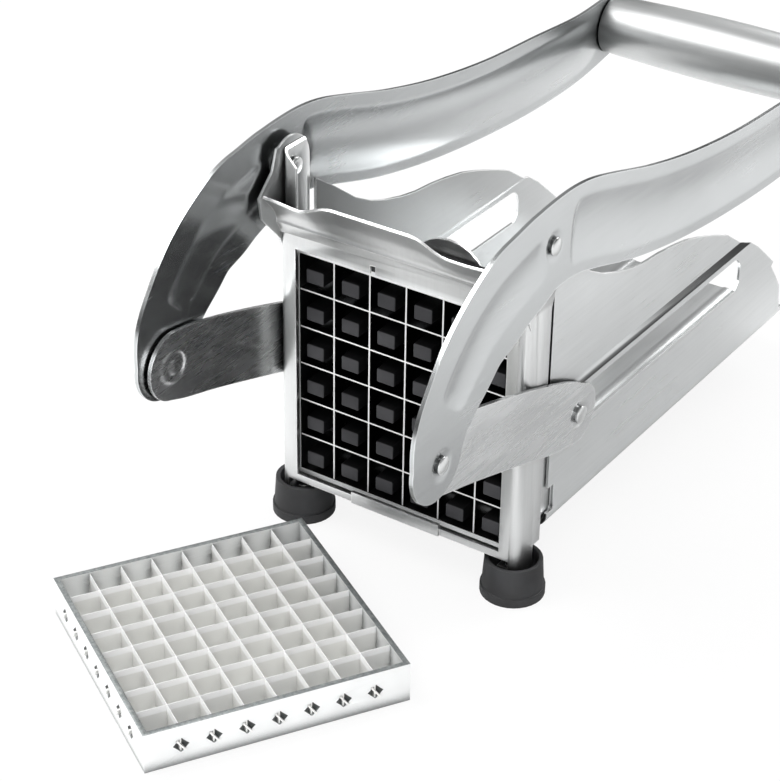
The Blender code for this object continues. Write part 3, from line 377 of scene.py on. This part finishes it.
def brushed_metal(name, tone, roughness, grain, stretch, depth=SHEET_LINE_DEPTH, smudge=0.06,
                  reach=0.03, shadow=0.45, dim=None):
    """Rolled or brushed steel: fine lines along one way, soft patches, painted shade in corners, and
    brighter edges that are a painted highlight and partly rubbing wear.
    """
    material, tree = new_material(name)
    lines = tree.noise(tree.place(stretch), grain, 4.0, 0.65)
    patches = tree.noise(tree.place(), PATCH_SCALE, 2.0)
    marks = lines * LINES_SHARE + patches * (1 - LINES_SHARE)
    shade = tree.ramp(marks, ((0.30, solid(tone, DULL_SHARE)[:3]), (0.70, tone)))
    # Painted highlight: outer edges painted brighter, partly for rubbing wear
    edge = tree.rubbed_sheen(RUB_SHEEN_RADIUS)
    # Painted shade: corners and hollows darken toward a share of the tone, from ambient occlusion
    open_to_light = tree.corner(reach).past(CORNER_START, CORNER_GAIN)
    shaded = tree.mix(open_to_light, solid(tone, shadow), shade)
    # Painted dark reflection: the colour darkens where the steel mirrors something dark
    if dim:
        shaded = tree.mix(dim(tree), shaded, solid(tone, DIM_SHARE))
    bright = tree.mix(edge, shaded, solid(tone, RUB_SHEEN_SHARE, RUB_SHEEN_LIMIT))
    rough = roughness + (lines - 0.5) * 0.12 + (patches - 0.5) * smudge - edge * 0.06
    shader = tree.node("ShaderNodeBsdfPrincipled", {
        "Base Color": bright,
        "Metallic": 1.0,
        "Roughness": rough.clamped(),
        "Normal": tree.bump(lines, 0.30, depth),
    })
    tree.surface(shader)
    return material


def trough_dim(tree):
    """Painted dark reflection on the trough, where it mirrors its own inside: inner walls, most at the
    front, and the joggle.
    """
    x, y = (tree.part(tree.spot(), axis) for axis in (0, 1))
    side, up = (tree.part(tree.normal(), axis) for axis in (0, 2))
    inner = ((x - GRID_FOOT.x) * side * -1.0).past(0.02, 60.0)
    front = (FRONT_DARK - (y - GRID_FOOT.y) * FADE_PER_METRE).clamped()
    step = up.past(0.20, 8.0) * ((0.85 - up) * 8.0).clamped()
    return tree.math("MAXIMUM", inner * front, step)


def front_dim(tree):
    """Painted dark reflection on the flared collar and its band, where they mirror the dark side of the
    room, most beside the left ear.
    """
    x, z = (tree.part(tree.spot(), axis) for axis in (0, 2))
    return z.past(COLLAR_FOOT, 900.0) * tree.ramp((x - GRID_FOOT.x) * 9.0 + 0.5, COLLAR_TONES)


def insert_sheet(name, mounted):
    """Satin band of an insert: a dull hem on the loose one, with painted shade in its hollows; painted
    black reflections in the mounted one, all but its front hem.
    """
    material, tree = new_material(name)
    grain = tree.noise(tree.place(), 900.0, 4.0, 0.7)
    patches = tree.noise(tree.place(), 40.0, 2.0)
    side = tree.ramp(patches, ((0.3, (0.86, 0.87, 0.87)), (0.7, (0.93, 0.94, 0.94))))
    if mounted:
        # Painted reflection: every face but the front-facing hem is painted black
        toward_front = tree.part(tree.normal(), 1) * -1.0
        hem = toward_front.past(0.35, 3.0)
        colour = tree.mix(hem, solid(BAND_BLACK), side)
        metallic = 1.0 - hem * 0.45
    else:
        hem = tree.part(tree.normal(), 2).past(0.55, 4.0)
        dull = tree.ramp(grain, ((0.35, (0.26, 0.28, 0.28)), (0.65, (0.46, 0.48, 0.48))))
        # Painted shade: the band's hollows darken to the hollow grey, from ambient occlusion
        open_to_light = tree.corner(0.004).past(0.35, 1.8)
        colour = tree.mix(hem, tree.mix(open_to_light, solid(BAND_HOLLOW), side), dull)
        metallic = 0.50 + hem * 0.30
    shader = tree.node("ShaderNodeBsdfPrincipled", {
        "Base Color": colour,
        "Metallic": metallic,
        "Roughness": (0.42 + grain * 0.10).clamped(),
        "Normal": tree.bump(grain, 0.15, SHEET_LINE_DEPTH),
    })
    tree.surface(shader)
    return material


def loose_strip(high, depth):
    """Bright strip steel; the ground band along the cutting edge is painted near white, a painted
    highlight on that bevel.
    """
    material, tree = new_material("loose_strip")
    band_foot = high - depth * 0.16
    # Painted highlight: the top of the ground band is painted white
    ground = ((tree.part(tree.spot(), 2) - band_foot) / (depth * 0.02)).clamped()
    patches = tree.noise(tree.place(), STRIP_PATCH_SCALE, 2.0)
    shade = tree.ramp(patches, ((0.3, (0.84, 0.84, 0.82)), (0.7, (0.92, 0.92, 0.90))))
    shader = tree.node("ShaderNodeBsdfPrincipled", {
        "Base Color": tree.mix(ground, shade, solid(GROUND_WHITE)),
        "Metallic": 0.45 - ground * 0.30,
        "Roughness": (0.28 + patches * 0.10 + ground * 0.15).clamped(),
    })
    tree.surface(shader)
    return material


def mounted_strip():
    """The same strip seen on its back edge: a light line; the sides are painted black, a painted
    reflection of the black pusher.
    """
    material, tree = new_material("mounted_strip")
    toward_front = tree.part(tree.normal(), 1) * -1.0
    # Painted reflection: all but the back edge is painted black
    back = toward_front.past(0.5, 4.0)
    patches = tree.noise(tree.place(), STRIP_PATCH_SCALE, 2.0)
    light = tree.ramp(patches, ((0.3, (0.80, 0.80, 0.80)), (0.7, (0.92, 0.92, 0.92))))
    shader = tree.node("ShaderNodeBsdfPrincipled", {
        "Base Color": tree.mix(back, solid(STRIP_BLACK), light),
        "Metallic": 1.0 - back * 0.6,
        "Roughness": (0.22 + patches * 0.10 + back * 0.2).clamped(),
    })
    tree.surface(shader)
    return material


def black_plastic():
    """Moulded black plastic; the faces toward the front are painted a lighter grey, a painted highlight,
    and the flanks are painted almost black, painted shade.
    """
    material, tree = new_material("black_plastic_grain")
    grain = tree.noise(tree.place(), 1800.0, 3.0)
    cloud = tree.noise(tree.place(), 60.0, 2.0)
    toward_front = tree.part(tree.normal(), 1) * -1.0
    # Painted highlight on the faces toward the front, painted shade on the flanks
    tip = toward_front.past(0.35, 4.0)
    flank = tree.ramp(cloud, ((0.3, (0.0015, 0.0015, 0.0017)), (0.7, (0.0035, 0.0035, 0.004))))
    face = tree.ramp(cloud, ((0.3, (0.040, 0.040, 0.043)), (0.7, (0.058, 0.058, 0.062))))
    shader = tree.node("ShaderNodeBsdfPrincipled", {
        "Base Color": tree.mix(tip, flank, face),
        "Roughness": 0.46 + grain * 0.16,
        "Specular IOR Level": 0.18,
        "Normal": tree.bump(grain, 0.20, 0.00002),
    })
    tree.surface(shader)
    return material


def black_rubber():
    """Matt rubber, greyer in cloudy patches."""
    material, tree = new_material("foot_rubber")
    grain = tree.noise(tree.place(), 1400.0, 4.0)
    cloud = tree.noise(tree.place(), 90.0, 3.0)
    shade = tree.ramp(cloud, ((0.35, (0.016, 0.016, 0.017)), (0.8, (0.036, 0.037, 0.040))))
    shader = tree.node("ShaderNodeBsdfPrincipled", {
        "Base Color": shade,
        "Roughness": 0.55 + cloud * 0.14,
        "Normal": tree.bump(grain, 0.3, 0.00004),
    })
    tree.surface(shader)
    return material


MATERIALS = {
    "sheet_up": brushed_metal("sheet_brushed_up", SHEET_TONE, 0.34, SHEET_GRAIN, ALONG_Z),
    "front": brushed_metal("front_sheet", FRONT_TONE, 0.34, SHEET_GRAIN, ALONG_Z, dim=front_dim),
    "sheet_along": brushed_metal("sheet_brushed_along", TROUGH_TONE, 0.30, SHEET_GRAIN, (1, 0.03, 1),
                                 dim=trough_dim),
    "link": brushed_metal("link_steel", LINK_TONE, 0.27, PLATE_GRAIN, ALONG_PLATE, PLATE_LINE_DEPTH),
    "arm": brushed_metal("arm_steel", ARM_TONE, 0.25, PLATE_GRAIN, ALONG_PLATE, PLATE_LINE_DEPTH,
                         smudge=0.10, reach=0.10, shadow=0.35),
    "handle": brushed_metal("handle_brushed", HANDLE_TONE, 0.42, HANDLE_GRAIN, (0.02, 1, 1),
                            HANDLE_LINE_DEPTH),
    "rivet": brushed_metal("rivet_turned", RIVET_TONE, 0.24, RIVET_GRAIN, (1, 1, 1)),
    "loose_band": insert_sheet("loose_band", False),
    "mounted_band": insert_sheet("mounted_band", True),
    "plastic": black_plastic(),
    "rubber": black_rubber(),
}


def smooth(mesh, angle=SMOOTH_ANGLE):
    mesh.shade_smooth()
    mesh.set_sharp_from_angle(angle=angle)


def baked(item):
    """Apply an object's modifiers."""
    graph = bpy.context.evaluated_depsgraph_get()
    mesh = bpy.data.meshes.new_from_object(item.evaluated_get(graph))
    item.modifiers.clear()
    item.data = mesh
    return item


def dress(name, mesh, material, nodes, edge=0.0, segments=2):
    """Add a visual piece that stands for CAD nodes and rides with them."""
    piece = bpy.data.objects.new(name, mesh)
    bpy.context.scene.collection.objects.link(piece)
    mesh.materials.clear()
    mesh.materials.append(material)
    if edge:
        bevel = piece.modifiers.new("edge", "BEVEL")
        bevel.width = edge
        bevel.segments = segments
        bevel.limit_method = "ANGLE"
        bevel.angle_limit = SMOOTH_ANGLE
        bevel.use_clamp_overlap = True
        baked(piece)
    smooth(piece.data)
    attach(piece, BODY_OF[nodes[0]])
    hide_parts(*nodes)
    return piece


def merged_copy(node):
    """A welded copy of a CAD node's mesh, with flat areas joined into single faces."""
    shape = bmesh.new()
    shape.from_mesh(NODES[node].data)
    bmesh.ops.remove_doubles(shape, verts=shape.verts, dist=NODE_WELD)
    bmesh.ops.dissolve_limit(shape, angle_limit=FLAT_ANGLE, verts=shape.verts, edges=shape.edges)
    mesh = bpy.data.meshes.new(node + "_fine")
    shape.to_mesh(mesh)
    shape.free()
    return mesh


def refine(node, material, edge=SHEET_EDGE, segments=2):
    return dress(node + "_fine", merged_copy(node), MATERIALS[material], [node], edge, segments)


def crisp(piece):
    """Flats stay flat up to each bend of a folded sheet."""
    smooth(piece.data, BEND_ANGLE)
    weigh = piece.modifiers.new("flats", "WEIGHTED_NORMAL")
    weigh.keep_sharp = True
    weigh.weight = FLAT_WEIGHT
    baked(piece)


def lower_joggle(trough):
    """Draw the upper bend of the side step down, so that the step is crisp."""
    for vertex in trough.data.vertices:
        if abs(vertex.co.z - JOGGLE_TOP) < JOGGLE_REACH:
            vertex.co.z -= JOGGLE_PULL


def spline(rows, t):
    """Smooth curve through table rows, t from 0 to 1 along the table."""
    spot = t * (len(rows) - 1)
    i = min(int(spot), len(rows) - 2)
    u = spot - i
    near = [rows[min(max(k, 0), len(rows) - 1)] for k in range(i - 1, i + 3)]
    return [
        (2 * b + (c - a) * u + (2 * a - 5 * b + 4 * c - d) * u * u + (3 * b - a - 3 * c + d) * u ** 3) / 2
        for a, b, c, d in zip(*near)
    ]


def ease(value):
    value = min(max(value, 0.0), 1.0)
    return value * value * (3 - 2 * value)


def panel_depth(panels, t, across):
    """Depth of the pressed panels: a crisp rim with rounded ends round a shallow bowl."""
    total = 0.0
    for start, end, low, high, depth, run in panels:
        half = (high - low) / 2
        ends = min(min(t - start, end - t) / run, 1)
        sides = min(min(across - low, high - across) / half, 1)
        if ends > 0 and sides > 0:
            inset = 1 - min(((1 - ends) ** 3 + (1 - sides) ** 3) ** (1 / 3), 1)
            total += depth * (1 - (1 - inset) ** 2)
    return total


def hill(distance, radius, width):
    """A rounded ring of one given radius, height one."""
    return ease(1 - abs(distance - radius) / width)


def pressed_sheet(name, rows, panels, inner_x, fineness, relief):
    """Fine sheet along a centre line, pressed toward the middle; relief adds to both faces."""
    stations, lanes = fineness
    line = []
    for i in range(stations + 1):
        t = i / stations
        here = spline(rows, t)
        ahead = spline(rows, min(t + SLOPE_SHARE, 1))
        behind = spline(rows, max(t - SLOPE_SHARE, 0))
        way = Vector((ahead[0] - behind[0], ahead[1] - behind[1])).normalized()
        line.append((Vector(here[:2]), way, here[2], t))
    caps = {0: [], -1: []}
    for end, sign in ((0, -1), (-1, 1)):
        centre, way, half, t = line[end]
        for i in range(1, CAP_STEPS + 1):
            turn = math.pi / 2 * i / CAP_STEPS
            spot = centre + way * (sign * half * math.sin(turn))
            caps[end].append((spot, way, half * math.cos(turn), t))
    line = list(reversed(caps[0])) + line + caps[-1]
    points = []
    for centre, way, half, t in line:
        side = Vector((-way[1], way[0]))
        for j in range(lanes + 1):
            across = 2 * j / lanes - 1
            spot = centre + side * (half * across)
            depth = panel_depth(panels, t, across)
            inner, outer = relief(spot)
            low = inner_x - depth + inner
            high = inner_x + LEVER_SHEET - depth + outer
            points.append((Vector((low, *spot)), Vector((high, *spot))))
    count = len(points)
    wide = lanes + 1
    vertices = [pair[0] for pair in points] + [pair[1] for pair in points]
    faces = []
    for i in range(len(line) - 1):
        for j in range(lanes):
            a = i * wide + j
            faces.append((a, a + 1, a + wide + 1, a + wide))
            faces.append((a + count, a + wide + count, a + wide + 1 + count, a + 1 + count))
        for a, b in ((i * wide, (i + 1) * wide), ((i + 1) * wide + lanes, i * wide + lanes)):
            faces.append((a, b, b + count, a + count))
    mesh = bpy.data.meshes.new(name)
    mesh.from_pydata(vertices, [], faces)
    shape = bmesh.new()
    shape.from_mesh(mesh)
    bmesh.ops.remove_doubles(shape, verts=shape.verts, dist=PLATE_WELD)
    bmesh.ops.holes_fill(shape, edges=[edge for edge in shape.edges if edge.is_boundary])
    bmesh.ops.recalc_face_normals(shape, faces=shape.faces)
    shape.to_mesh(mesh)
    shape.free()
    return mesh


def lay_lever_plate(node, rows, panels, inner_x, fineness, pins, buttons=()):
    """Replace an arm or link by a fine pressed sheet; the left ones are mirror images."""

    def relief(spot):
        inner = 0.0
        outer = 0.0
        for pin in pins:
            gap = (spot - Vector(pin)).length
            outer -= DIMPLE_DEPTH * ease((DIMPLE_RADIUS - gap) / DIMPLE_SLOPE)
        for button in buttons:
            gap = (spot - Vector(button)).length
            ring = hill(gap, RING_RADIUS, RING_WIDTH)
            inner -= STAMP_DEPTH * max(ring, BUTTON_SHARE * ease((BUTTON_RADIUS - gap) / BUTTON_SLOPE))
        return inner, outer

    mesh = pressed_sheet(node + "_fine", rows, panels, inner_x, fineness, relief)
    if node.startswith("left"):
        mesh.transform(Matrix.Scale(-1, 4, (1, 0, 0)))
        mesh.flip_normals()
    mesh.transform(Matrix.Translation(GRID_FOOT))
    return dress(node + "_fine", mesh, MATERIALS[node.split("_")[1]], [node])


def lever_plates():
    """Both arms, and both links from the arm's crank pin to the pusher's axle."""
    arm = [
        (PIVOT[0] + ARM_REACH * along, PIVOT[1] + ARM_REACH * up, ARM_HALF_WIDTH * half)
        for along, up, half in ARM_LINE_SHARES
    ]
    axle = middle_of("axle") - GRID_FOOT
    pin = Vector(CRANK)
    run = Vector((axle.y, axle.z)) - pin
    side = Vector((-run[1], run[0]))
    link = [
        (*(pin + run * along + side * across), LINK_HALF_WIDTH * half)
        for along, across, half in LINK_LINE_SHARES
    ]
    tail = tuple(pin + run)
    for hand in ("right", "left"):
        lay_lever_plate(hand + "_arm", arm, ARM_PANELS, ARM_INNER, ARM_FINENESS, (PIVOT, CRANK))
        lay_lever_plate(hand + "_link", link, LINK_PANELS, LINK_INNER, LINK_FINENESS, (tail,), (CRANK,))


def cutting_grid():
    """Node group: two families of strips at one pitch, ground on top, twisted tabs at both ends."""
    group = bpy.data.node_groups.new("cutting_grid", "GeometryNodeTree")
    tree = Tree(group)
    for name, kind in GRID_INPUTS:
        group.interface.new_socket(name=name, in_out="INPUT", socket_type=kind)
    group.interface.new_socket(name="Geometry", in_out="OUTPUT", socket_type="NodeSocketGeometry")
    source = group.nodes.new("NodeGroupInput")
    given = {name: Socket(tree, source.outputs[name]) for name, _ in GRID_INPUTS}
    length, depth = given["Length"], given["Depth"]

    def triple(x, y, z):
        return tree.node("ShaderNodeCombineXYZ", {0: x, 1: y, 2: z})

    strip = tree.node("GeometryNodeMeshCube", {
        "Size": triple(length, given["Thickness"], depth),
        "Vertices X": 2,
        "Vertices Y": 2,
        "Vertices Z": 3,
    })
    spot = tree.node("GeometryNodeInputPosition")
    x, y, z = (tree.part(spot, axis) for axis in range(3))
    top = tree.math("GREATER_THAN", z, depth * 0.4)
    middle = tree.math("LESS_THAN", tree.math("ABSOLUTE", z), depth * 0.1)
    place = triple(x, y * (1.0 - top * given["Sharpness"]), z + middle * (depth * 0.5 - given["Ground"]))
    strip = tree.node("GeometryNodeSetPosition", {"Geometry": strip, "Position": place})
    tab_size = triple(given["Reach"], given["Thickness"], given["Tab Width"])
    tab = tree.node("GeometryNodeMeshCube", {"Size": tab_size})
    twist = triple(given["Twist"], 0.0, 0.0)
    turned = tree.node("GeometryNodeTransform", {"Geometry": tab, "Rotation": twist})
    span = length + given["Reach"]
    ends = tree.node("GeometryNodeMeshLine", {
        "Count": 2,
        "Start Location": triple(span * -0.5, 0.0, 0.0),
        "Offset": triple(span, 0.0, 0.0),
    })
    tabs = tree.node("GeometryNodeInstanceOnPoints", {"Points": ends, "Instance": turned})
    piece = tree.join(strip, tabs)
    half_run = given["Pitch"] * (given["Count"] - 1.0) * 0.5
    row = tree.node("GeometryNodeMeshLine", {
        "Count": given["Count"],
        "Start Location": triple(0.0, half_run * -1.0, 0.0),
        "Offset": triple(0.0, given["Pitch"], 0.0),
    })
    family = tree.node("GeometryNodeInstanceOnPoints", {"Points": row, "Instance": piece})
    across = tree.node("GeometryNodeTransform", {
        "Geometry": family,
        "Rotation": (0, 0, math.pi / 2),
        "Scale": (1, 1, CROSS_HEIGHT_SHARE),
    })
    both = tree.node("GeometryNodeRealizeInstances", {"Geometry": tree.join(family, across)})
    done = tree.node("GeometryNodeSetMaterial", {"Geometry": both, "Material": given["Material"]})
    sink = group.nodes.new("NodeGroupOutput")
    group.links.new(done.output, sink.inputs["Geometry"])
    return group


def grown(name, group, values, matrix):
    """A mesh made by a node group and put in place."""
    item = bpy.data.objects.new(name, bpy.data.meshes.new(name))
    bpy.context.scene.collection.objects.link(item)
    modifier = item.modifiers.new("rule", "NODES")
    modifier.node_group = group
    for socket in group.interface.items_tree:
        if socket.in_out == "INPUT":
            modifier[socket.identifier] = values[socket.name]
    bpy.context.view_layer.update()
    baked(item)
    mesh = item.data
    bpy.data.objects.remove(item)
    mesh.transform(matrix)
    return mesh


def middle_of(node):
    low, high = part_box(node)
    return (low + high) / 2


def drill_diamonds(band, matrix, count, pitch):
    """Sink a diamond round every tab in the outer faces of a band."""
    shape = bmesh.new()
    for side in range(4):
        turn = matrix @ Matrix.Rotation(side * math.pi / 2, 4, "Z")
        for i in range(count):
            along = pitch * (i - (count - 1) / 2)
            corners = []
            for depth in (BAND_HALF - DIAMOND_DEPTH, BAND_HALF + DIAMOND_DEPTH):
                ring = (
                    (depth, along - DIAMOND_HALF, 0),
                    (depth, along, -DIAMOND_HALF),
                    (depth, along + DIAMOND_HALF, 0),
                    (depth, along, DIAMOND_HALF),
                )
                corners.append([shape.verts.new(turn @ Vector(point)) for point in ring])
            low, high = corners
            shape.faces.new(low)
            shape.faces.new(list(reversed(high)))
            for j in range(4):
                k = (j + 1) % 4
                shape.faces.new((low[j], high[j], high[k], low[k]))
    bmesh.ops.recalc_face_normals(shape, faces=shape.faces)
    mesh = bpy.data.meshes.new("diamonds")
    shape.to_mesh(mesh)
    shape.free()
    cutter = bpy.data.objects.new("diamonds", mesh)
    bpy.context.scene.collection.objects.link(cutter)
    drill = band.modifiers.new("diamonds", "BOOLEAN")
    drill.operation = "DIFFERENCE"
    drill.object = cutter
    bpy.context.view_layer.update()
    baked(band)
    smooth(band.data)
    bpy.data.objects.remove(cutter)


def lay_grid(group, prefix, cells, pitch, matrix, material):
    """Replace one insert's separate strips by a fine grid of the same pitch."""
    nodes = [node for node in NODES if node.startswith(prefix) and "blade" in node]
    values = {
        "Count": cells - 1,
        "Pitch": pitch,
        "Length": STRIP_LENGTH,
        "Depth": INSERT_DEPTH - STRIP_INSET * 2,
        "Thickness": STRIP_THICKNESS,
        "Ground": STRIP_GROUND,
        "Sharpness": SHARPNESS_SHARE,
        "Reach": TAB_REACH,
        "Tab Width": TAB_WIDTH,
        "Twist": TAB_TWIST,
        "Material": material,
    }
    mesh = grown(prefix + "_grid_fine", group, values, matrix)
    dress(prefix + "_grid_fine", mesh, material, nodes)


def loose_insert(group):
    """The insert on the table: a 64 cell grid, its band, and a diamond hole round each tab."""
    place = Matrix.Translation(middle_of("loose_insert_frame")) @ Matrix.Rotation(LOOSE_TURN, 4, "Z")
    steel = loose_strip(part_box("loose_upright_blade_1")[1][2], INSERT_DEPTH)
    lay_grid(group, "loose", LOOSE_CELLS, LOOSE_PITCH, place, steel)
    band = refine("loose_insert_frame", "loose_band")
    drill_diamonds(band, place, LOOSE_CELLS - 1, LOOSE_PITCH)


def mounted_insert(group):
    """The insert in the front frame: a 36 cell grid, standing up."""
    place = Matrix.Translation(middle_of("mounted_insert_frame")) @ Matrix.Rotation(-math.pi / 2, 4, "X")
    lay_grid(group, "mounted", MOUNTED_CELLS, MOUNTED_PITCH, place, mounted_strip())
    refine("mounted_insert_frame", "mounted_band", HEM_EDGE)


def steel_body():
    """Trough, front frame, posts, rear leg and the pusher's carrier."""
    trough = refine("trough", "sheet_along")
    lower_joggle(trough)
    crisp(trough)
    refine("front_frame", "front")
    for node in ("right_post", "left_post", "rear_leg", "pusher_carrier"):
        refine(node, "sheet_up", POST_EDGE, 3)


def pins_and_handle():
    """The handle's barrel, and every rivet, spacer and rod."""
    refine("handle_barrel", "handle", HEM_EDGE)
    for node in NODES:
        if "rivet" in node or "spacer" in node or node in ("tie_rod", "axle"):
            refine(node, "rivet", PIN_EDGE)


def black_parts():
    """Rubber feet and the plastic pusher block."""
    for node in ("right_foot", "left_foot", "rear_foot"):
        refine(node, "rubber", RUBBER_EDGE, 3)
    refine("pusher_block", "plastic", PLASTIC_EDGE, 3)


def make_camera():
    """The photograph's camera, placed from the foot of the mounted grid."""
    back = Vector((
        math.sin(CAMERA_AZIMUTH) * math.cos(CAMERA_ELEVATION),
        -math.cos(CAMERA_AZIMUTH) * math.cos(CAMERA_ELEVATION),
        math.sin(CAMERA_ELEVATION),
    ))
    right = (-back).cross(Vector((0, 0, 1))).normalized()
    up = right.cross(-back)
    rolled_right = right * math.cos(CAMERA_ROLL) + up * math.sin(CAMERA_ROLL)
    rolled_up = up * math.cos(CAMERA_ROLL) - right * math.sin(CAMERA_ROLL)
    axes = Matrix((rolled_right, rolled_up, back)).transposed()
    data = bpy.data.cameras.new("camera")
    data.sensor_width = SENSOR_WIDTH
    data.sensor_fit = "HORIZONTAL"
    data.lens = SENSOR_WIDTH * FOCAL_PIXELS / PHOTO_WIDTH
    data.clip_start = NEAR_CLIP
    camera = bpy.data.objects.new("camera", data)
    camera.matrix_world = Matrix.Translation(GRID_FOOT + CAMERA_FROM_GRID) @ axes.to_4x4()
    bpy.context.scene.collection.objects.link(camera)
    bpy.context.scene.camera = camera


def make_world():
    """White to the camera; a bright overhead with darker sides for what the metal reflects."""
    world = bpy.data.worlds.new("studio")
    bpy.context.scene.world = world
    world.use_nodes = True
    tree = Tree(world.node_tree)
    ray = tree.node("ShaderNodeLightPath", output="Is Camera Ray")
    spot = tree.node("ShaderNodeTexCoord", output="Generated")
    bands = tree.ramp(tree.part(spot, 2) * 0.5 + 0.5, ROOM_HEIGHT_TONES)
    sides = tree.ramp(tree.part(spot, 0) * 0.5 + 0.5, ROOM_SIDE_TONES)
    inputs = {0: 1.0, 6: bands, 7: sides}
    tone = tree.node("ShaderNodeMix", inputs, output=2, data_type="RGBA", blend_type="MULTIPLY")
    lit = tree.node("ShaderNodeBackground", {"Color": tone, "Strength": ROOM_STRENGTH})
    white = tree.node("ShaderNodeBackground", {"Color": solid(WHITE), "Strength": 1.0})
    shader = tree.node("ShaderNodeMixShader", {0: ray, 1: lit, 2: white})
    tree.surface(shader, "ShaderNodeOutputWorld")


def make_floor():
    """White table: nearly shadowless to the camera; to the metal, darker in one stripe."""
    mesh = bpy.data.meshes.new("table_top")
    shape = bmesh.new()
    bmesh.ops.create_grid(shape, x_segments=1, y_segments=1, size=TABLE_HALF)
    shape.to_mesh(mesh)
    shape.free()
    floor = bpy.data.objects.new("table_top", mesh)
    floor.location.z = -TABLE_DROP
    bpy.context.scene.collection.objects.link(floor)
    material, tree = new_material("white_table")
    ray = tree.node("ShaderNodeLightPath", output="Is Camera Ray")
    tone = tree.ramp(tree.part(tree.spot(), 0) * 2.0 + 0.5, TABLE_TONES)
    striped = tree.node("ShaderNodeBsdfDiffuse", {"Color": tone})
    even = tree.node("ShaderNodeBsdfDiffuse", {"Color": solid(TABLE_WHITE)})
    glow = tree.node("ShaderNodeEmission", {"Color": solid(WHITE), "Strength": 1.0})
    seen = tree.node("ShaderNodeMixShader", {0: TABLE_GLOW_SHARE, 1: even, 2: glow})
    shader = tree.node("ShaderNodeMixShader", {0: ray, 1: striped, 2: seen})
    tree.surface(shader)
    mesh.materials.append(material)


def make_lamps():
    for name, place, size, power in LAMPS:
        data = bpy.data.lights.new(name, "AREA")
        data.shape = "RECTANGLE"
        data.size, data.size_y = size
        data.energy = power
        lamp = bpy.data.objects.new(name, data)
        lamp.location = place
        lamp.rotation_mode = "QUATERNION"
        way = Vector(place) - Vector(LAMP_TARGET)
        lamp.rotation_quaternion = way.to_track_quat("Z", "Y")
        bpy.context.scene.collection.objects.link(lamp)


grid_rule = cutting_grid()
loose_insert(grid_rule)
mounted_insert(grid_rule)
steel_body()
lever_plates()
pins_and_handle()
black_parts()

make_camera()
make_world()
make_floor()
make_lamps()
bpy.context.scene.view_settings.view_transform = "Standard"
